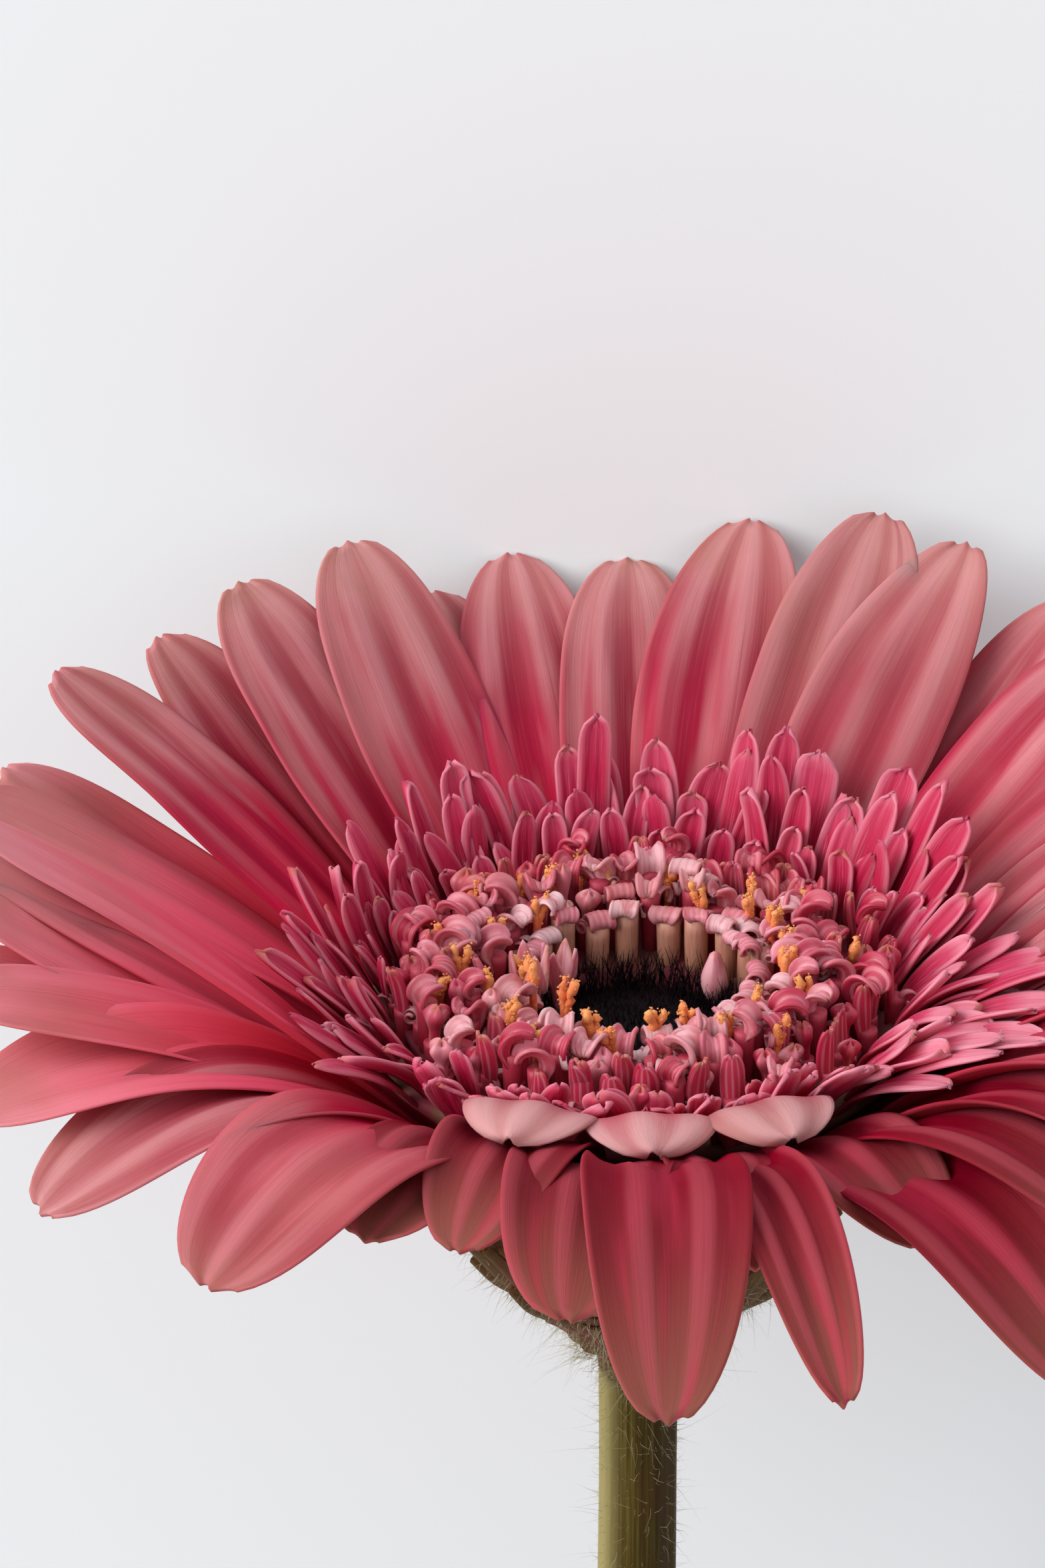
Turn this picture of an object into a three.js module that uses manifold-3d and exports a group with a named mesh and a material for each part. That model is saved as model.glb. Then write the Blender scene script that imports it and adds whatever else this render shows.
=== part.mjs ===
// A pink semi-double gerbera, cut with its leafless stem and laid on a table.
// Part frame: millimetres, +Z up, the table at Z = 0, the flower facing +X, the origin under the middle of all.
// Head frame: +Z out of the flower's face along its axis, +Y down towards the table, +X to the part's -Y. A place
// in the head is given by its azimuth about the axis, its radius from the axis and its height along it, with
// height 0 at the tips of the disc florets.
import * as THREE from "three";
import { mergeVertices } from "three/addons/utils/BufferGeometryUtils.js";
import Module from "manifold-3d";

// ---------------------------------------------------------------- driving dimensions, millimetres, degrees
const NECK_RADIUS = 3.0; // stem just below the head
const FOOT_RADIUS = 3.7; // stem at its cut end
const STEM_LENGTH = 325;
const STEM_SWAY = 9; // how far the stem bows sideways
const CUT_SLANT = 0.8; // run of the slanting cut for each millimetre across the stem
const HEAD_FORWARD = 169.55; // head centre ahead of the origin
const HEAD_ASIDE = 0.27; // head centre beside the origin, along Y
const HEAD_HEIGHT = 44.9; // head centre above the table
const HEAD_TILT = 6.4; // the axis rises this much towards the face
const TIP_BITE = 0.55; // how much of a petal tip is flattened where it lies on the table
const FOOT_BITE = 0.2; // and how much of the stem's foot

// The large rays are uneven, as they grew: each has the azimuth, radius and height of its tip. Where they differ
// from the others', its width beside theirs and its arch follow.
const FRONT_RAYS = [
  [0, 51, 8, 1, 30], [18, 50, 12], [35, 49, 15], [57, 47, 15.6], [66, 48, 17], [79, 49, 13.3, 1.1], [91, 48, 10],
  [102.5, 49, 10.4, 1.1], [119, 47.5, 15.4, 1.12], [131, 47.5, 14.6, 1.15], [152, 50, 12.6], [168, 50, 8],
  [200, 48.5, 19.8, 1, 8], [205, 50.5, -1, 1.2, 38], [216, 49.5, -3.6, 1.05, 46], [233, 47, -4, 1.22, 50],
  [252, 38, -2.5, 0.9, 54], [272, 53, -4, 0.97, 54], [284, 53, -4, 0.55, 50], [300, 38.5, -3.4, 0.95, 52],
  [314, 50, -3, 1.1, 48], [330, 53, 0, 1, 46], [347, 52, 4.5, 1, 36],
];
const BACK_RAYS = [
  [9, 50, 7], [27, 50, 11], [45, 49, 13.5], [62, 48, 11], [73, 47.5, 11], [86, 42, 8.5], [97, 42, 7],
  [111, 47, 10], [126, 48, 11], [139, 49, 12.2], [160, 50.5, 8], [175, 50, 8], [183, 50.3, 7.4],
  [190, 50.5, 5.2], [197, 50.5, 4.4], [242, 37, -3, 0.95, 54], [263, 40, -2.5, 0.8, 56], [281, 39, -2.5, 0.75, 54],
  [304, 54, -7.5, 1.05, 50], [322, 52, -3], [338, 52, 0, 1, 42], [355, 51, 4, 1, 34],
];
const RAY_HALF_WIDTH = 5.7;
const RAY_THICKNESS = 0.7;
const RAY_ROOT = { radius: 9.5, height: -17.2, lean: 45 };
const WHORL_DROP = 1.8; // the back whorl is rooted this far behind the front one
const RAY_ARCH = { raised: 8, drooping: 54 }; // how far a tip leans below the line from root to tip
const RAY_REACH = { raised: 0.38, drooping: 0.57 }; // how far a ray keeps its lean at the root, beside its chord
const RAISED_SIDE = 106; // azimuth of the side where the rays stand up
const PLEAT = 0.24; // half the height of a ray's lengthwise pleats
const RAY_CUP = 0.2; // how far a ray's edges rise above its middle

// Trans florets, the short rays round the disc, row by row from the outside in.
const TRANS_ROWS = [
  { count: 20, radius: 19.3, height: -5.3, length: 13.2, halfWidth: 1.9, lean: 60, fall: 27 },
  { count: 19, radius: 18.9, height: -4.8, length: 11.2, halfWidth: 1.9, lean: 61, fall: 31 },
  { count: 18, radius: 18.5, height: -4.4, length: 8.4, halfWidth: 1.75, lean: 66, fall: 31 },
  { count: 17, radius: 18.1, height: -4.1, length: 6.2, halfWidth: 1.6, lean: 72, fall: 28 },
];
const TRANS_THICKNESS = 0.6;
// Three broader half-long rays bend down over the rim on the side away from the table, and press the trans
// florets there together.
const MIDDLE_RAYS = { count: 3, first: 253.5, step: 18.5, length: 13, halfWidth: 4.6, rootLean: 67, tipLean: -16 };

// Disc florets, row by row from the rim of the dark eye outwards. A row's rake is how much higher its tips are
// on the table side than in its mean.
const DISC_ROWS = [
  { count: 12, radius: 9.3, tip: 0.1, rake: 1.1, lean: 96 },
  { count: 13, radius: 11.7, tip: 1.0, rake: 0.5, lean: 90 },
  { count: 14, radius: 14.1, tip: 1.3, rake: 0, lean: 84 },
  { count: 14, radius: 16.3, tip: 0.7, rake: 0, lean: 80 },
];
const LIP_HALF_WIDTH = 1.15;
const LIP_THICKNESS = 0.6;
const LIP_CURL_RADIUS = 0.75;
const LIP_CURL = 215; // degrees that a lip rolls over
const ANTHER = { radius: 0.45, length: 6.4, sides: 4 };
const EYE = { radius: 7.5, bottom: -11.7, rim: -5.2, crown: -4.4 };
const BRISTLES = { count: 24, length: 2.6, radius: 0.45 };

const BRACT_ROWS = [
  { count: 12, start: 0.4, length: 14.5, halfWidth: 1.9 },
  { count: 9, start: 0.22, length: 11.5, halfWidth: 1.9 },
];
const BRACT_SPREAD = { from: 0.86, lean: 54 }; // past this share of the receptacle's outline the bracts stand off
const BRACT_THICKNESS = 0.7;
// Outline of the receptacle below the florets, from the stem to the rim: radius, height.
const CUP_OUTLINE = [
  [NECK_RADIUS, -34],
  [3.3, -31.5],
  [4.3, -28.6],
  [7.4, -25.6],
  [10.4, -23.3],
  [12.0, -21.4],
  [12.2, -20.0],
];
const GAP = 0.3; // between nodes that touch
const SEED = 11.7;

// ---------------------------------------------------------------- small helpers
const rad = (degrees) => (degrees * Math.PI) / 180;
const clamp01 = (x) => Math.min(1, Math.max(0, x));
const mix = (a, b, t) => a + (b - a) * t;

function smooth(from, to, x) {
  const t = clamp01((x - from) / (to - from));
  return t * t * (3 - 2 * t);
}

// A draw from 0 to 1 that is the same on every run.
function draw(index, channel) {
  const s = Math.sin(index * 12.9898 + channel * 78.233 + SEED) * 43758.5453;
  return s - Math.floor(s);
}

const around = (index, channel, spread) => (2 * draw(index, channel) - 1) * spread;

const wasm = await Module();
wasm.setup();

function solidOf(geometry) {
  const bare = geometry.clone();
  bare.deleteAttribute("normal");
  bare.deleteAttribute("uv");
  const merged = mergeVertices(bare, 1e-4);
  return new wasm.Manifold(
    new wasm.Mesh({
      numProp: 3,
      vertProperties: new Float32Array(merged.attributes.position.array),
      triVerts: new Uint32Array(merged.index.array),
    }),
  );
}

const join = (solids) => solids.reduce((whole, piece) => whole.add(piece));

// The biggest body of a solid: trimming can leave loose scraps.
function mainBody(solid) {
  return solid.decompose().reduce((a, b) => (a.volume() > b.volume() ? a : b));
}

function meshOf(name, solid, material) {
  const { vertProperties, triVerts } = mainBody(solid).getMesh();
  const geometry = new THREE.BufferGeometry()
    .setAttribute("position", new THREE.BufferAttribute(new Float32Array(vertProperties), 3))
    .setIndex(new THREE.BufferAttribute(new Uint32Array(triVerts), 1));
  geometry.computeVertexNormals();
  const mesh = new THREE.Mesh(geometry, material);
  mesh.name = name;
  return mesh;
}

function lathe(outline, sides) {
  const corners = outline.map(([r, z]) => new THREE.Vector2(r, z));
  return solidOf(new THREE.LatheGeometry(corners, sides).rotateX(Math.PI / 2));
}

// A closed blade. middle(u, v) gives the point and normal of its middle surface, u running from root to tip
// and v from -1 to 1 across. Both faces are split into triangles alike.
function blade(stations, columns, thickness, middle) {
  const positions = [];
  const index = [];
  for (const side of [0.5, -0.5])
    for (const u of stations)
      for (const v of columns) {
        const { point, normal } = middle(u, v);
        positions.push(...point.clone().addScaledVector(normal, side * thickness).toArray());
      }
  const wide = columns.length;
  const under = stations.length * wide;
  for (let i = 0; i + 1 < stations.length; i++)
    for (let j = 0; j + 1 < wide; j++) {
      const a = i * wide + j;
      const [b, c, d] = [a + 1, a + wide, a + wide + 1];
      index.push(a, c, b, b, c, d);
      index.push(a + under, b + under, c + under, b + under, d + under, c + under);
    }
  const last = (stations.length - 1) * wide;
  const rim = [
    ...stations.slice(1).map((_, i) => i * wide),
    ...columns.slice(1).map((_, j) => last + j),
    ...stations.slice(1).map((_, i) => last - i * wide + wide - 1),
    ...columns.slice(1).map((_, j) => wide - 1 - j),
  ];
  rim.forEach((p, i) => {
    const q = rim[(i + 1) % rim.length];
    index.push(p + under, q + under, q, p + under, q, p);
  });
  return new THREE.BufferGeometry()
    .setAttribute("position", new THREE.BufferAttribute(new Float32Array(positions), 3))
    .setIndex(index);
}

// ---------------------------------------------------------------- where a floret runs
// A floret's middle line lies in the plane of the axis and its azimuth. At a share of its length it has a
// radius, a height and a lean above the plane of the disc.
const STEPS = 40;

// A line from its root whose lean is a function of the share run.
function leaning(radius, height, length, lean) {
  const points = [[radius, height]];
  for (let i = 0; i < STEPS; i++) {
    const angle = rad(lean((i + 0.5) / STEPS));
    const [r, z] = points[i];
    points.push([r + (Math.cos(angle) * length) / STEPS, z + (Math.sin(angle) * length) / STEPS]);
  }
  return (u) => {
    const i = Math.min(STEPS - 1, Math.floor(u * STEPS));
    const part = u * STEPS - i;
    return {
      r: mix(points[i][0], points[i + 1][0], part),
      z: mix(points[i][1], points[i + 1][1], part),
      angle: rad(lean(u)),
    };
  };
}

// A line from a root to a tip with the lean given at both, and how far the line keeps to each beside its chord.
function reaching(root, rootLean, tip, tipLean, rootReach, tipReach) {
  const chord = root.distanceTo(tip);
  const towards = (lean, reach) =>
    new THREE.Vector2(Math.cos(rad(lean)), Math.sin(rad(lean))).multiplyScalar(chord * reach);
  const leaves = root.clone().add(towards(rootLean, rootReach));
  const arrives = tip.clone().sub(towards(tipLean, tipReach));
  const curve = new THREE.CubicBezierCurve(root, leaves, arrives, tip);
  return (u) => {
    const at = curve.getPointAt(u);
    return { r: at.x, z: at.y, angle: curve.getTangentAt(u).angle() };
  };
}

// Gives the point of a floret's surface at a share u of its line, aside of it by a half width times v and
// off it by a rise, with the surface's normal there.
function surfaceAlong(line, azimuth, roll = 0) {
  const outward = new THREE.Vector3(Math.cos(rad(azimuth)), Math.sin(rad(azimuth)), 0);
  const aside = new THREE.Vector3(-outward.y, outward.x, 0);
  const up = new THREE.Vector3(0, 0, 1);
  return (u, v, halfWidth, rise) => {
    const { r, z, angle } = line(u);
    const turn = rad(roll * u);
    const flat = outward.clone().multiplyScalar(-Math.sin(angle)).addScaledVector(up, Math.cos(angle));
    const normal = flat.clone().multiplyScalar(Math.cos(turn)).addScaledVector(aside, -Math.sin(turn));
    const across = aside.clone().multiplyScalar(Math.cos(turn)).addScaledVector(flat, Math.sin(turn));
    const point = outward
      .clone()
      .multiplyScalar(r)
      .addScaledVector(up, z)
      .addScaledVector(across, v * halfWidth)
      .addScaledVector(normal, rise);
    return { point, normal };
  };
}

// ---------------------------------------------------------------- the head's frame
const head = new THREE.Group();
{
  const [c, s] = [Math.cos(rad(HEAD_TILT)), Math.sin(rad(HEAD_TILT))];
  const axes = new THREE.Matrix4().makeBasis(
    new THREE.Vector3(0, -1, 0),
    new THREE.Vector3(s, 0, -c),
    new THREE.Vector3(c, 0, s),
  );
  head.quaternion.setFromRotationMatrix(axes);
  head.position.set(HEAD_FORWARD, HEAD_ASIDE, HEAD_HEIGHT);
  head.updateMatrixWorld(true);
}

const heightOverTable = (point) => point.clone().applyMatrix4(head.matrixWorld).z;

// Everything under the table top, as a solid in the head's frame or in the part's own.
function underTable(inHead) {
  const slab = new THREE.BoxGeometry(900, 900, 60).translate(0, 0, -30);
  if (inHead) slab.applyMatrix4(head.matrixWorld.clone().invert());
  return solidOf(slab);
}

// ---------------------------------------------------------------- ray florets
// 1 on the side where the rays stand up, 0 on the side where they droop.
const raised = (azimuth) => smooth(-0.36, 0.26, Math.cos(rad(azimuth - RAISED_SIDE)));

function rayOutline(u, tipShape) {
  const grow = 0.27 + 0.73 * smooth(0.0, 0.66, u);
  return grow * Math.sqrt(1 - Math.pow(Math.max(0, (u - 0.6) / 0.402), tipShape));
}

function rayRise(u, v) {
  return smooth(0.12, 0.5, u) * (PLEAT * Math.cos(2 * Math.PI * v) + RAY_CUP * (v * v - 0.4));
}

function rayFloret(whorl, k) {
  const id = whorl * FRONT_RAYS.length + k;
  const [azimuth, tipRadius, tipHeight, ownWidth, ownArch] = (whorl ? BACK_RAYS : FRONT_RAYS)[k];
  const root = new THREE.Vector2(RAY_ROOT.radius, RAY_ROOT.height - whorl * WHORL_DROP);
  const arch = ownArch ?? mix(RAY_ARCH.drooping, RAY_ARCH.raised, raised(azimuth));
  const rootReach = mix(RAY_REACH.drooping, RAY_REACH.raised, raised(azimuth));
  const tipReach = 0.3 + 0.7 * (arch / 100) ** 2;
  const halfWidth = RAY_HALF_WIDTH * (ownWidth ?? 1 + around(id, 6, 0.07));
  const roll = around(id, 4, 5);
  const place = (press) => {
    const tip = new THREE.Vector2(tipRadius, tipHeight).rotateAround(root, rad(press));
    const chord = THREE.MathUtils.radToDeg(tip.clone().sub(root).angle());
    const line = reaching(root, RAY_ROOT.lean, tip, chord - arch, rootReach, tipReach);
    const at = surfaceAlong(line, azimuth, roll);
    return (u, v) => at(u, v, halfWidth * rayOutline(u, RAY_TIP_SHAPE), rayRise(u, v));
  };
  return place(pressOf(place));
}

// A ray that the table is in the way of leans further forward until its tip just lies on the table.
function pressOf(place) {
  const lowest = (press) => {
    const at = place(press);
    const points = RAY_STATIONS.slice(-3).flatMap((u) => RAY_COLUMNS.map((v) => at(u, v).point));
    return Math.min(...points.map(heightOverTable)) - RAY_THICKNESS / 2;
  };
  if (lowest(0) > -TIP_BITE) return 0;
  let [below, above] = [0, 45];
  for (let i = 0; i < 24; i++) {
    const half = (below + above) / 2;
    if (lowest(half) > -TIP_BITE) above = half;
    else below = half;
  }
  return above;
}

const RAY_TIP_SHAPE = 2.9;
const RAY_STATIONS = [0, 0.36, 0.64, 0.88, 1];
const RAY_COLUMNS = [-1, -0.34, 0.34, 1];

function rayFlorets() {
  const front = RAY_ROOT.height + 1.7;
  const back = RAY_ROOT.height - WHORL_DROP - 0.7;
  const hub = lathe(
    [
      [0, back],
      [10.6, back],
      [12.4, front - 0.5],
      [11.6, front],
      [0, front],
    ],
    16,
  );
  const pieces = [hub];
  [FRONT_RAYS, BACK_RAYS].forEach((rays, whorl) =>
    rays.forEach((_, k) => {
      const ray = blade(RAY_STATIONS, RAY_COLUMNS, RAY_THICKNESS, rayFloret(whorl, k));
      pieces.push(solidOf(ray));
    }),
  );
  return join(pieces).subtract(underTable(true));
}

// ---------------------------------------------------------------- trans florets
const TRANS_STATIONS = [0, 0.62, 1];
const TRANS_COLUMNS = [-1, 1];

function transOutline(u) {
  return (0.55 + 0.45 * smooth(0, 0.5, u)) * Math.sqrt(1 - Math.pow(Math.max(0, (u - 0.45) / 0.56), 2));
}

// 1 where the middle rays press the trans florets together, 0 away from them.
const crowded = (azimuth) => smooth(0.55, 0.95, Math.cos(rad(azimuth - 270)));

function transFloret(row, k) {
  const { count, radius, height, halfWidth, ...usual } = TRANS_ROWS[row];
  const id = 100 + row * 50 + k;
  const azimuth = ((k + row / 2 + around(id, 1, 0.1)) * 360) / count;
  const pressed = crowded(azimuth);
  const lean = usual.lean + 8 * pressed;
  const fall = usual.fall * (1 - 0.5 * pressed) * (1 - raised(azimuth));
  const length = usual.length * (1 + around(id, 3, 0.13)) * (1 - 0.4 * pressed);
  const tipLean = lean - fall + around(id, 2, 3);
  const line = leaning(radius, height, length, (u) => mix(lean - 0.3 * fall, tipLean, smooth(0, 1, u)));
  const place = surfaceAlong(line, azimuth, around(id, 4, 5));
  return (u, v) => place(u, v, halfWidth * transOutline(u), 0.3 * v * v);
}

function middleRay(k) {
  const id = 400 + k;
  const { first, step, length, halfWidth, rootLean, tipLean } = MIDDLE_RAYS;
  const { radius, height } = TRANS_ROWS[0];
  const line = leaning(radius, height, length * (1 + around(id, 2, 0.06)), (u) =>
    mix(rootLean, tipLean + around(id, 3, 8), smooth(0.2, 1, u)),
  );
  const place = surfaceAlong(line, first + step * k + around(id, 1, 1));
  return (u, v) => place(u, v, halfWidth * rayOutline(u, 2.2), -0.7 * v * v * u);
}

// The outermost row of trans florets leaves its place to the middle rays.
const amongMiddleRays = (azimuth) =>
  azimuth > MIDDLE_RAYS.first - MIDDLE_RAYS.step / 2 &&
  azimuth < MIDDLE_RAYS.first + MIDDLE_RAYS.step * (MIDDLE_RAYS.count - 0.5);

const MIDDLE_RAY_STATIONS = [0, 0.4, 0.7, 0.9, 1];

// The dish that carries the trans florets, between the ray whorls and the disc.
const DISH = [
  [0, -14.6],
  [10.4, -14.6],
  [20.0, -4.95],
  [20.0, -4.2],
  [18.2, -3.6],
  [9.7, -12.0],
  [0, -12.0],
];

function transFlorets() {
  const pieces = [lathe(DISH, 20)];
  TRANS_ROWS.forEach(({ count }, row) => {
    for (let k = 0; k < count; k++)
      if (row > 0 || !amongMiddleRays((k * 360) / count))
        pieces.push(solidOf(blade(TRANS_STATIONS, TRANS_COLUMNS, TRANS_THICKNESS, transFloret(row, k))));
  });
  for (let k = 0; k < MIDDLE_RAYS.count; k++)
    pieces.push(solidOf(blade(MIDDLE_RAY_STATIONS, [-1, 0, 1], TRANS_THICKNESS, middleRay(k))));
  return join(pieces);
}

// ---------------------------------------------------------------- disc
// The ring that carries the disc florets, round the eye.
const RING = [
  [7.9, -11.5],
  [9.2, -11.5],
  [17.2, -3.9],
  [17.2, -3.4],
  [7.9, -4.5],
  [7.9, -11.5],
];
const DISC_ROOT_HEIGHT = -4.8;

// A lip stands up from the ring and rolls over towards the eye.
function discFloret(row, k) {
  const { count, radius, tip, rake, lean } = DISC_ROWS[row];
  const id = 500 + row * 40 + k;
  const azimuth = ((k + row / 2 + around(id, 1, 0.12)) * 360) / count;
  const top = tip + rake * Math.sin(rad(azimuth)) + around(id, 2, 0.5);
  const stand = top - LIP_CURL_RADIUS - DISC_ROOT_HEIGHT;
  const length = stand + LIP_CURL_RADIUS * rad(LIP_CURL);
  const begins = stand / length;
  const line = leaning(
    radius - 0.3,
    DISC_ROOT_HEIGHT,
    length,
    (u) => lean + (LIP_CURL * Math.max(0, u - begins)) / (1 - begins),
  );
  const place = surfaceAlong(line, azimuth);
  const stations = [0, begins, mix(begins, 1, 0.55), 1];
  return blade(stations, [-1, 1], LIP_THICKNESS, (u, v) =>
    place(u, v, LIP_HALF_WIDTH * (0.8 + 0.2 * smooth(0.2, begins, u)), 0),
  );
}

// An anther tube stands between the florets of two rows.
function anther(k, count) {
  const id = 700 + k;
  const row = k % (DISC_ROWS.length - 1);
  const azimuth = rad((k * 360) / count + around(id, 1, 3));
  const radius = (DISC_ROWS[row].radius + DISC_ROWS[row + 1].radius) / 2 + 0.5;
  const stick = new THREE.CylinderGeometry(ANTHER.radius, ANTHER.radius * 0.8, ANTHER.length, ANTHER.sides);
  stick.rotateX(Math.PI / 2);
  stick.translate(radius * Math.cos(azimuth), radius * Math.sin(azimuth), DISC_ROOT_HEIGHT + ANTHER.length / 2);
  return solidOf(stick);
}

const ANTHER_COUNT = 14;

function discFlorets() {
  const pieces = [lathe(RING, 20)];
  DISC_ROWS.forEach(({ count }, row) => {
    for (let k = 0; k < count; k++) pieces.push(solidOf(discFloret(row, k)));
  });
  for (let k = 0; k < ANTHER_COUNT; k++) pieces.push(anther(k, ANTHER_COUNT));
  return join(pieces);
}

// The dark eye: a low cushion of unopened florets with stiff bristles standing out of it.
function discEye() {
  const cushion = lathe(
    [
      [0, EYE.bottom],
      [EYE.radius, EYE.bottom],
      [EYE.radius, EYE.rim - 0.6],
      [EYE.radius * 0.8, EYE.rim],
      [EYE.radius * 0.4, EYE.crown - 0.2],
      [0, EYE.crown],
    ],
    24,
  );
  const pieces = [cushion];
  for (let k = 0; k < BRISTLES.count; k++) {
    const radius = (EYE.radius - 0.9) * Math.sqrt((k + 0.5) / BRISTLES.count);
    const azimuth = k * Math.PI * (3 - Math.sqrt(5));
    const bristle = new THREE.ConeGeometry(BRISTLES.radius, BRISTLES.length, 3).rotateX(Math.PI / 2);
    const foot = EYE.rim + (EYE.crown - EYE.rim) * (1 - radius / EYE.radius);
    bristle.translate(radius * Math.cos(azimuth), radius * Math.sin(azimuth), foot + BRISTLES.length * 0.2);
    pieces.push(solidOf(bristle));
  }
  return join(pieces);
}

// ---------------------------------------------------------------- green parts
// The receptacle's outside as a line from the stem to the rim.
const cupLine = new THREE.CatmullRomCurve3(CUP_OUTLINE.map(([r, z]) => new THREE.Vector3(r, 0, z)));

// A bract lies along the receptacle and stands off it at the rim, under the rays.
function bract(row, k) {
  const { count, start, length, halfWidth } = BRACT_ROWS[row];
  const id = 800 + row * 40 + k;
  const foot = cupLine.getPointAt(start);
  const lean = (u) => {
    const share = start + (u * length) / cupLine.getLength();
    const along = cupLine.getTangentAt(Math.min(share, BRACT_SPREAD.from));
    const slope = THREE.MathUtils.radToDeg(Math.atan2(along.z, along.x));
    return mix(slope, BRACT_SPREAD.lean, smooth(BRACT_SPREAD.from - 0.1, BRACT_SPREAD.from, share));
  };
  const line = leaning(foot.x, foot.z, length * (1 + around(id, 2, 0.06)), lean);
  const place = surfaceAlong(line, ((k + row / 2 + around(id, 1, 0.1)) * 360) / count);
  const outline = (u) => 0.75 + 0.25 * smooth(0, 0.3, u) - 0.8 * Math.pow(u, 2.2);
  const rise = (u) => mix(-0.2, 0.75 + 0.85 * row, smooth(0, 0.25, u));
  return (u, v) => place(u, v, halfWidth * outline(u), -rise(u));
}

const BRACT_STATIONS = [0, 0.3, 0.65, 1];

function involucre() {
  const top = CUP_OUTLINE[CUP_OUTLINE.length - 1][1];
  const pieces = [lathe([[0, CUP_OUTLINE[0][1]], ...CUP_OUTLINE, [0, top]], 22)];
  BRACT_ROWS.forEach(({ count }, row) => {
    for (let k = 0; k < count; k++)
      pieces.push(solidOf(blade(BRACT_STATIONS, [-1, 1], BRACT_THICKNESS, bract(row, k))));
  });
  return join(pieces);
}

// The stem leaves the head along its axis and comes down to the table at its slanting cut end.
const STEM_SIDES = 12;
const STEM_STEPS = 20;

function stemLine() {
  const axis = new THREE.Vector3(0, 0, 1).applyQuaternion(head.quaternion);
  const neck = new THREE.Vector3(0, 0, CUP_OUTLINE[0][1] - GAP).applyMatrix4(head.matrixWorld);
  const foot = new THREE.Vector3(neck.x - STEM_LENGTH, neck.y + STEM_SWAY * 0.4, FOOT_RADIUS - FOOT_BITE);
  const reach = STEM_LENGTH / 3;
  const beforeNeck = neck.clone().addScaledVector(axis, -reach);
  const afterFoot = foot.clone().add(new THREE.Vector3(reach, STEM_SWAY, reach * 0.1));
  return new THREE.CubicBezierCurve3(neck, beforeNeck, afterFoot, foot);
}

function stem() {
  const line = stemLine();
  const tube = new THREE.CylinderGeometry(1, 1, 1, STEM_SIDES, STEM_STEPS).rotateX(Math.PI / 2);
  const vertices = tube.attributes.position;
  const vertex = new THREE.Vector3();
  for (let i = 0; i < vertices.count; i++) {
    vertex.fromBufferAttribute(vertices, i);
    const share = 0.5 - vertex.z;
    const along = line.getTangentAt(share);
    const aside = along.clone().cross(new THREE.Vector3(0, 0, 1)).normalize();
    const up = aside.clone().cross(along);
    const radius = mix(NECK_RADIUS, FOOT_RADIUS, smooth(0, 1, share));
    const slant = share > 0.999 ? CUT_SLANT * radius * vertex.y : 0;
    const point = line
      .getPointAt(share)
      .addScaledVector(aside, vertex.x * radius)
      .addScaledVector(up, vertex.y * radius)
      .addScaledVector(along, -slant);
    vertices.setXYZ(i, point.x, point.y, point.z);
  }
  return solidOf(tube).subtract(underTable(false));
}

// ---------------------------------------------------------------- materials and assembly
const petalPink = new THREE.MeshStandardMaterial({ color: 0xc8586f, roughness: 0.6, metalness: 0 });
const transPink = new THREE.MeshStandardMaterial({ color: 0xd4447a, roughness: 0.55, metalness: 0 });
const lipPink = new THREE.MeshStandardMaterial({ color: 0xd98a96, roughness: 0.6, metalness: 0 });
const eyeBlack = new THREE.MeshStandardMaterial({ color: 0x140c12, roughness: 0.9, metalness: 0 });
const bractGreen = new THREE.MeshStandardMaterial({ color: 0x6f7440, roughness: 0.75, metalness: 0 });
const stemGreen = new THREE.MeshStandardMaterial({ color: 0x7a7a3c, roughness: 0.7, metalness: 0 });

head.add(
  meshOf("ray_florets", rayFlorets(), petalPink),
  meshOf("trans_florets", transFlorets(), transPink),
  meshOf("disc_florets", discFlorets(), lipPink),
  meshOf("disc_eye", discEye(), eyeBlack),
  meshOf("involucre", involucre(), bractGreen),
);

const gerbera = new THREE.Group();
gerbera.add(head, meshOf("stem", stem(), stemGreen));

export default gerbera;
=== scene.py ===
"""The looks of a pink semi-double gerbera that lies on a table: its petals, florets, hairs and skins.

Every piece replaces one of the plain solids, or a part of it, and keeps its form. Sizes are in millimetres
and degrees, as in the solids, and a mesh is turned into metres when it is built.
Head frame: +Z out of the flower's face along its axis, +Y down towards the table, +X to the part's -Y. A
place in the head has an azimuth about the axis, a radius from it and a height along it, which is 0 at the
disc florets' tips.
On a petal's sheet, u is the share of its length from root to tip, and v goes from -1 to 1 across it.
"""

import math

import bpy
import numpy as np
from mathutils import Matrix, Vector


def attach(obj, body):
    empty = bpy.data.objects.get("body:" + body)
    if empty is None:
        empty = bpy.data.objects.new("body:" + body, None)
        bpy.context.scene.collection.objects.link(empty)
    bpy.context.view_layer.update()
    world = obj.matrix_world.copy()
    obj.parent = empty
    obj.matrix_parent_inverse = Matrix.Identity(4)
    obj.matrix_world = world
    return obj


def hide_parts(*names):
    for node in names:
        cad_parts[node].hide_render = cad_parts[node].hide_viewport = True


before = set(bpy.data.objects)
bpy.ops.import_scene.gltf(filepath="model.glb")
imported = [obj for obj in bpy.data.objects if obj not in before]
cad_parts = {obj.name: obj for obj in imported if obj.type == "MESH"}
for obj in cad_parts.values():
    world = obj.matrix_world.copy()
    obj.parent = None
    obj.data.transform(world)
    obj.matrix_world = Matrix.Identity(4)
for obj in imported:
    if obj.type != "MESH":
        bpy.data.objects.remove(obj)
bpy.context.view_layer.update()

# ---------------------------------------------------------------- sizes of the solids, which the looks follow
MM = 0.001
HEAD_CENTRE = np.array([169.55, 0.27, 44.9])
HEAD_TILT = 6.4  # the axis rises this much towards the face
NECK_RADIUS, FOOT_RADIUS = 3.0, 3.7
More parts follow.
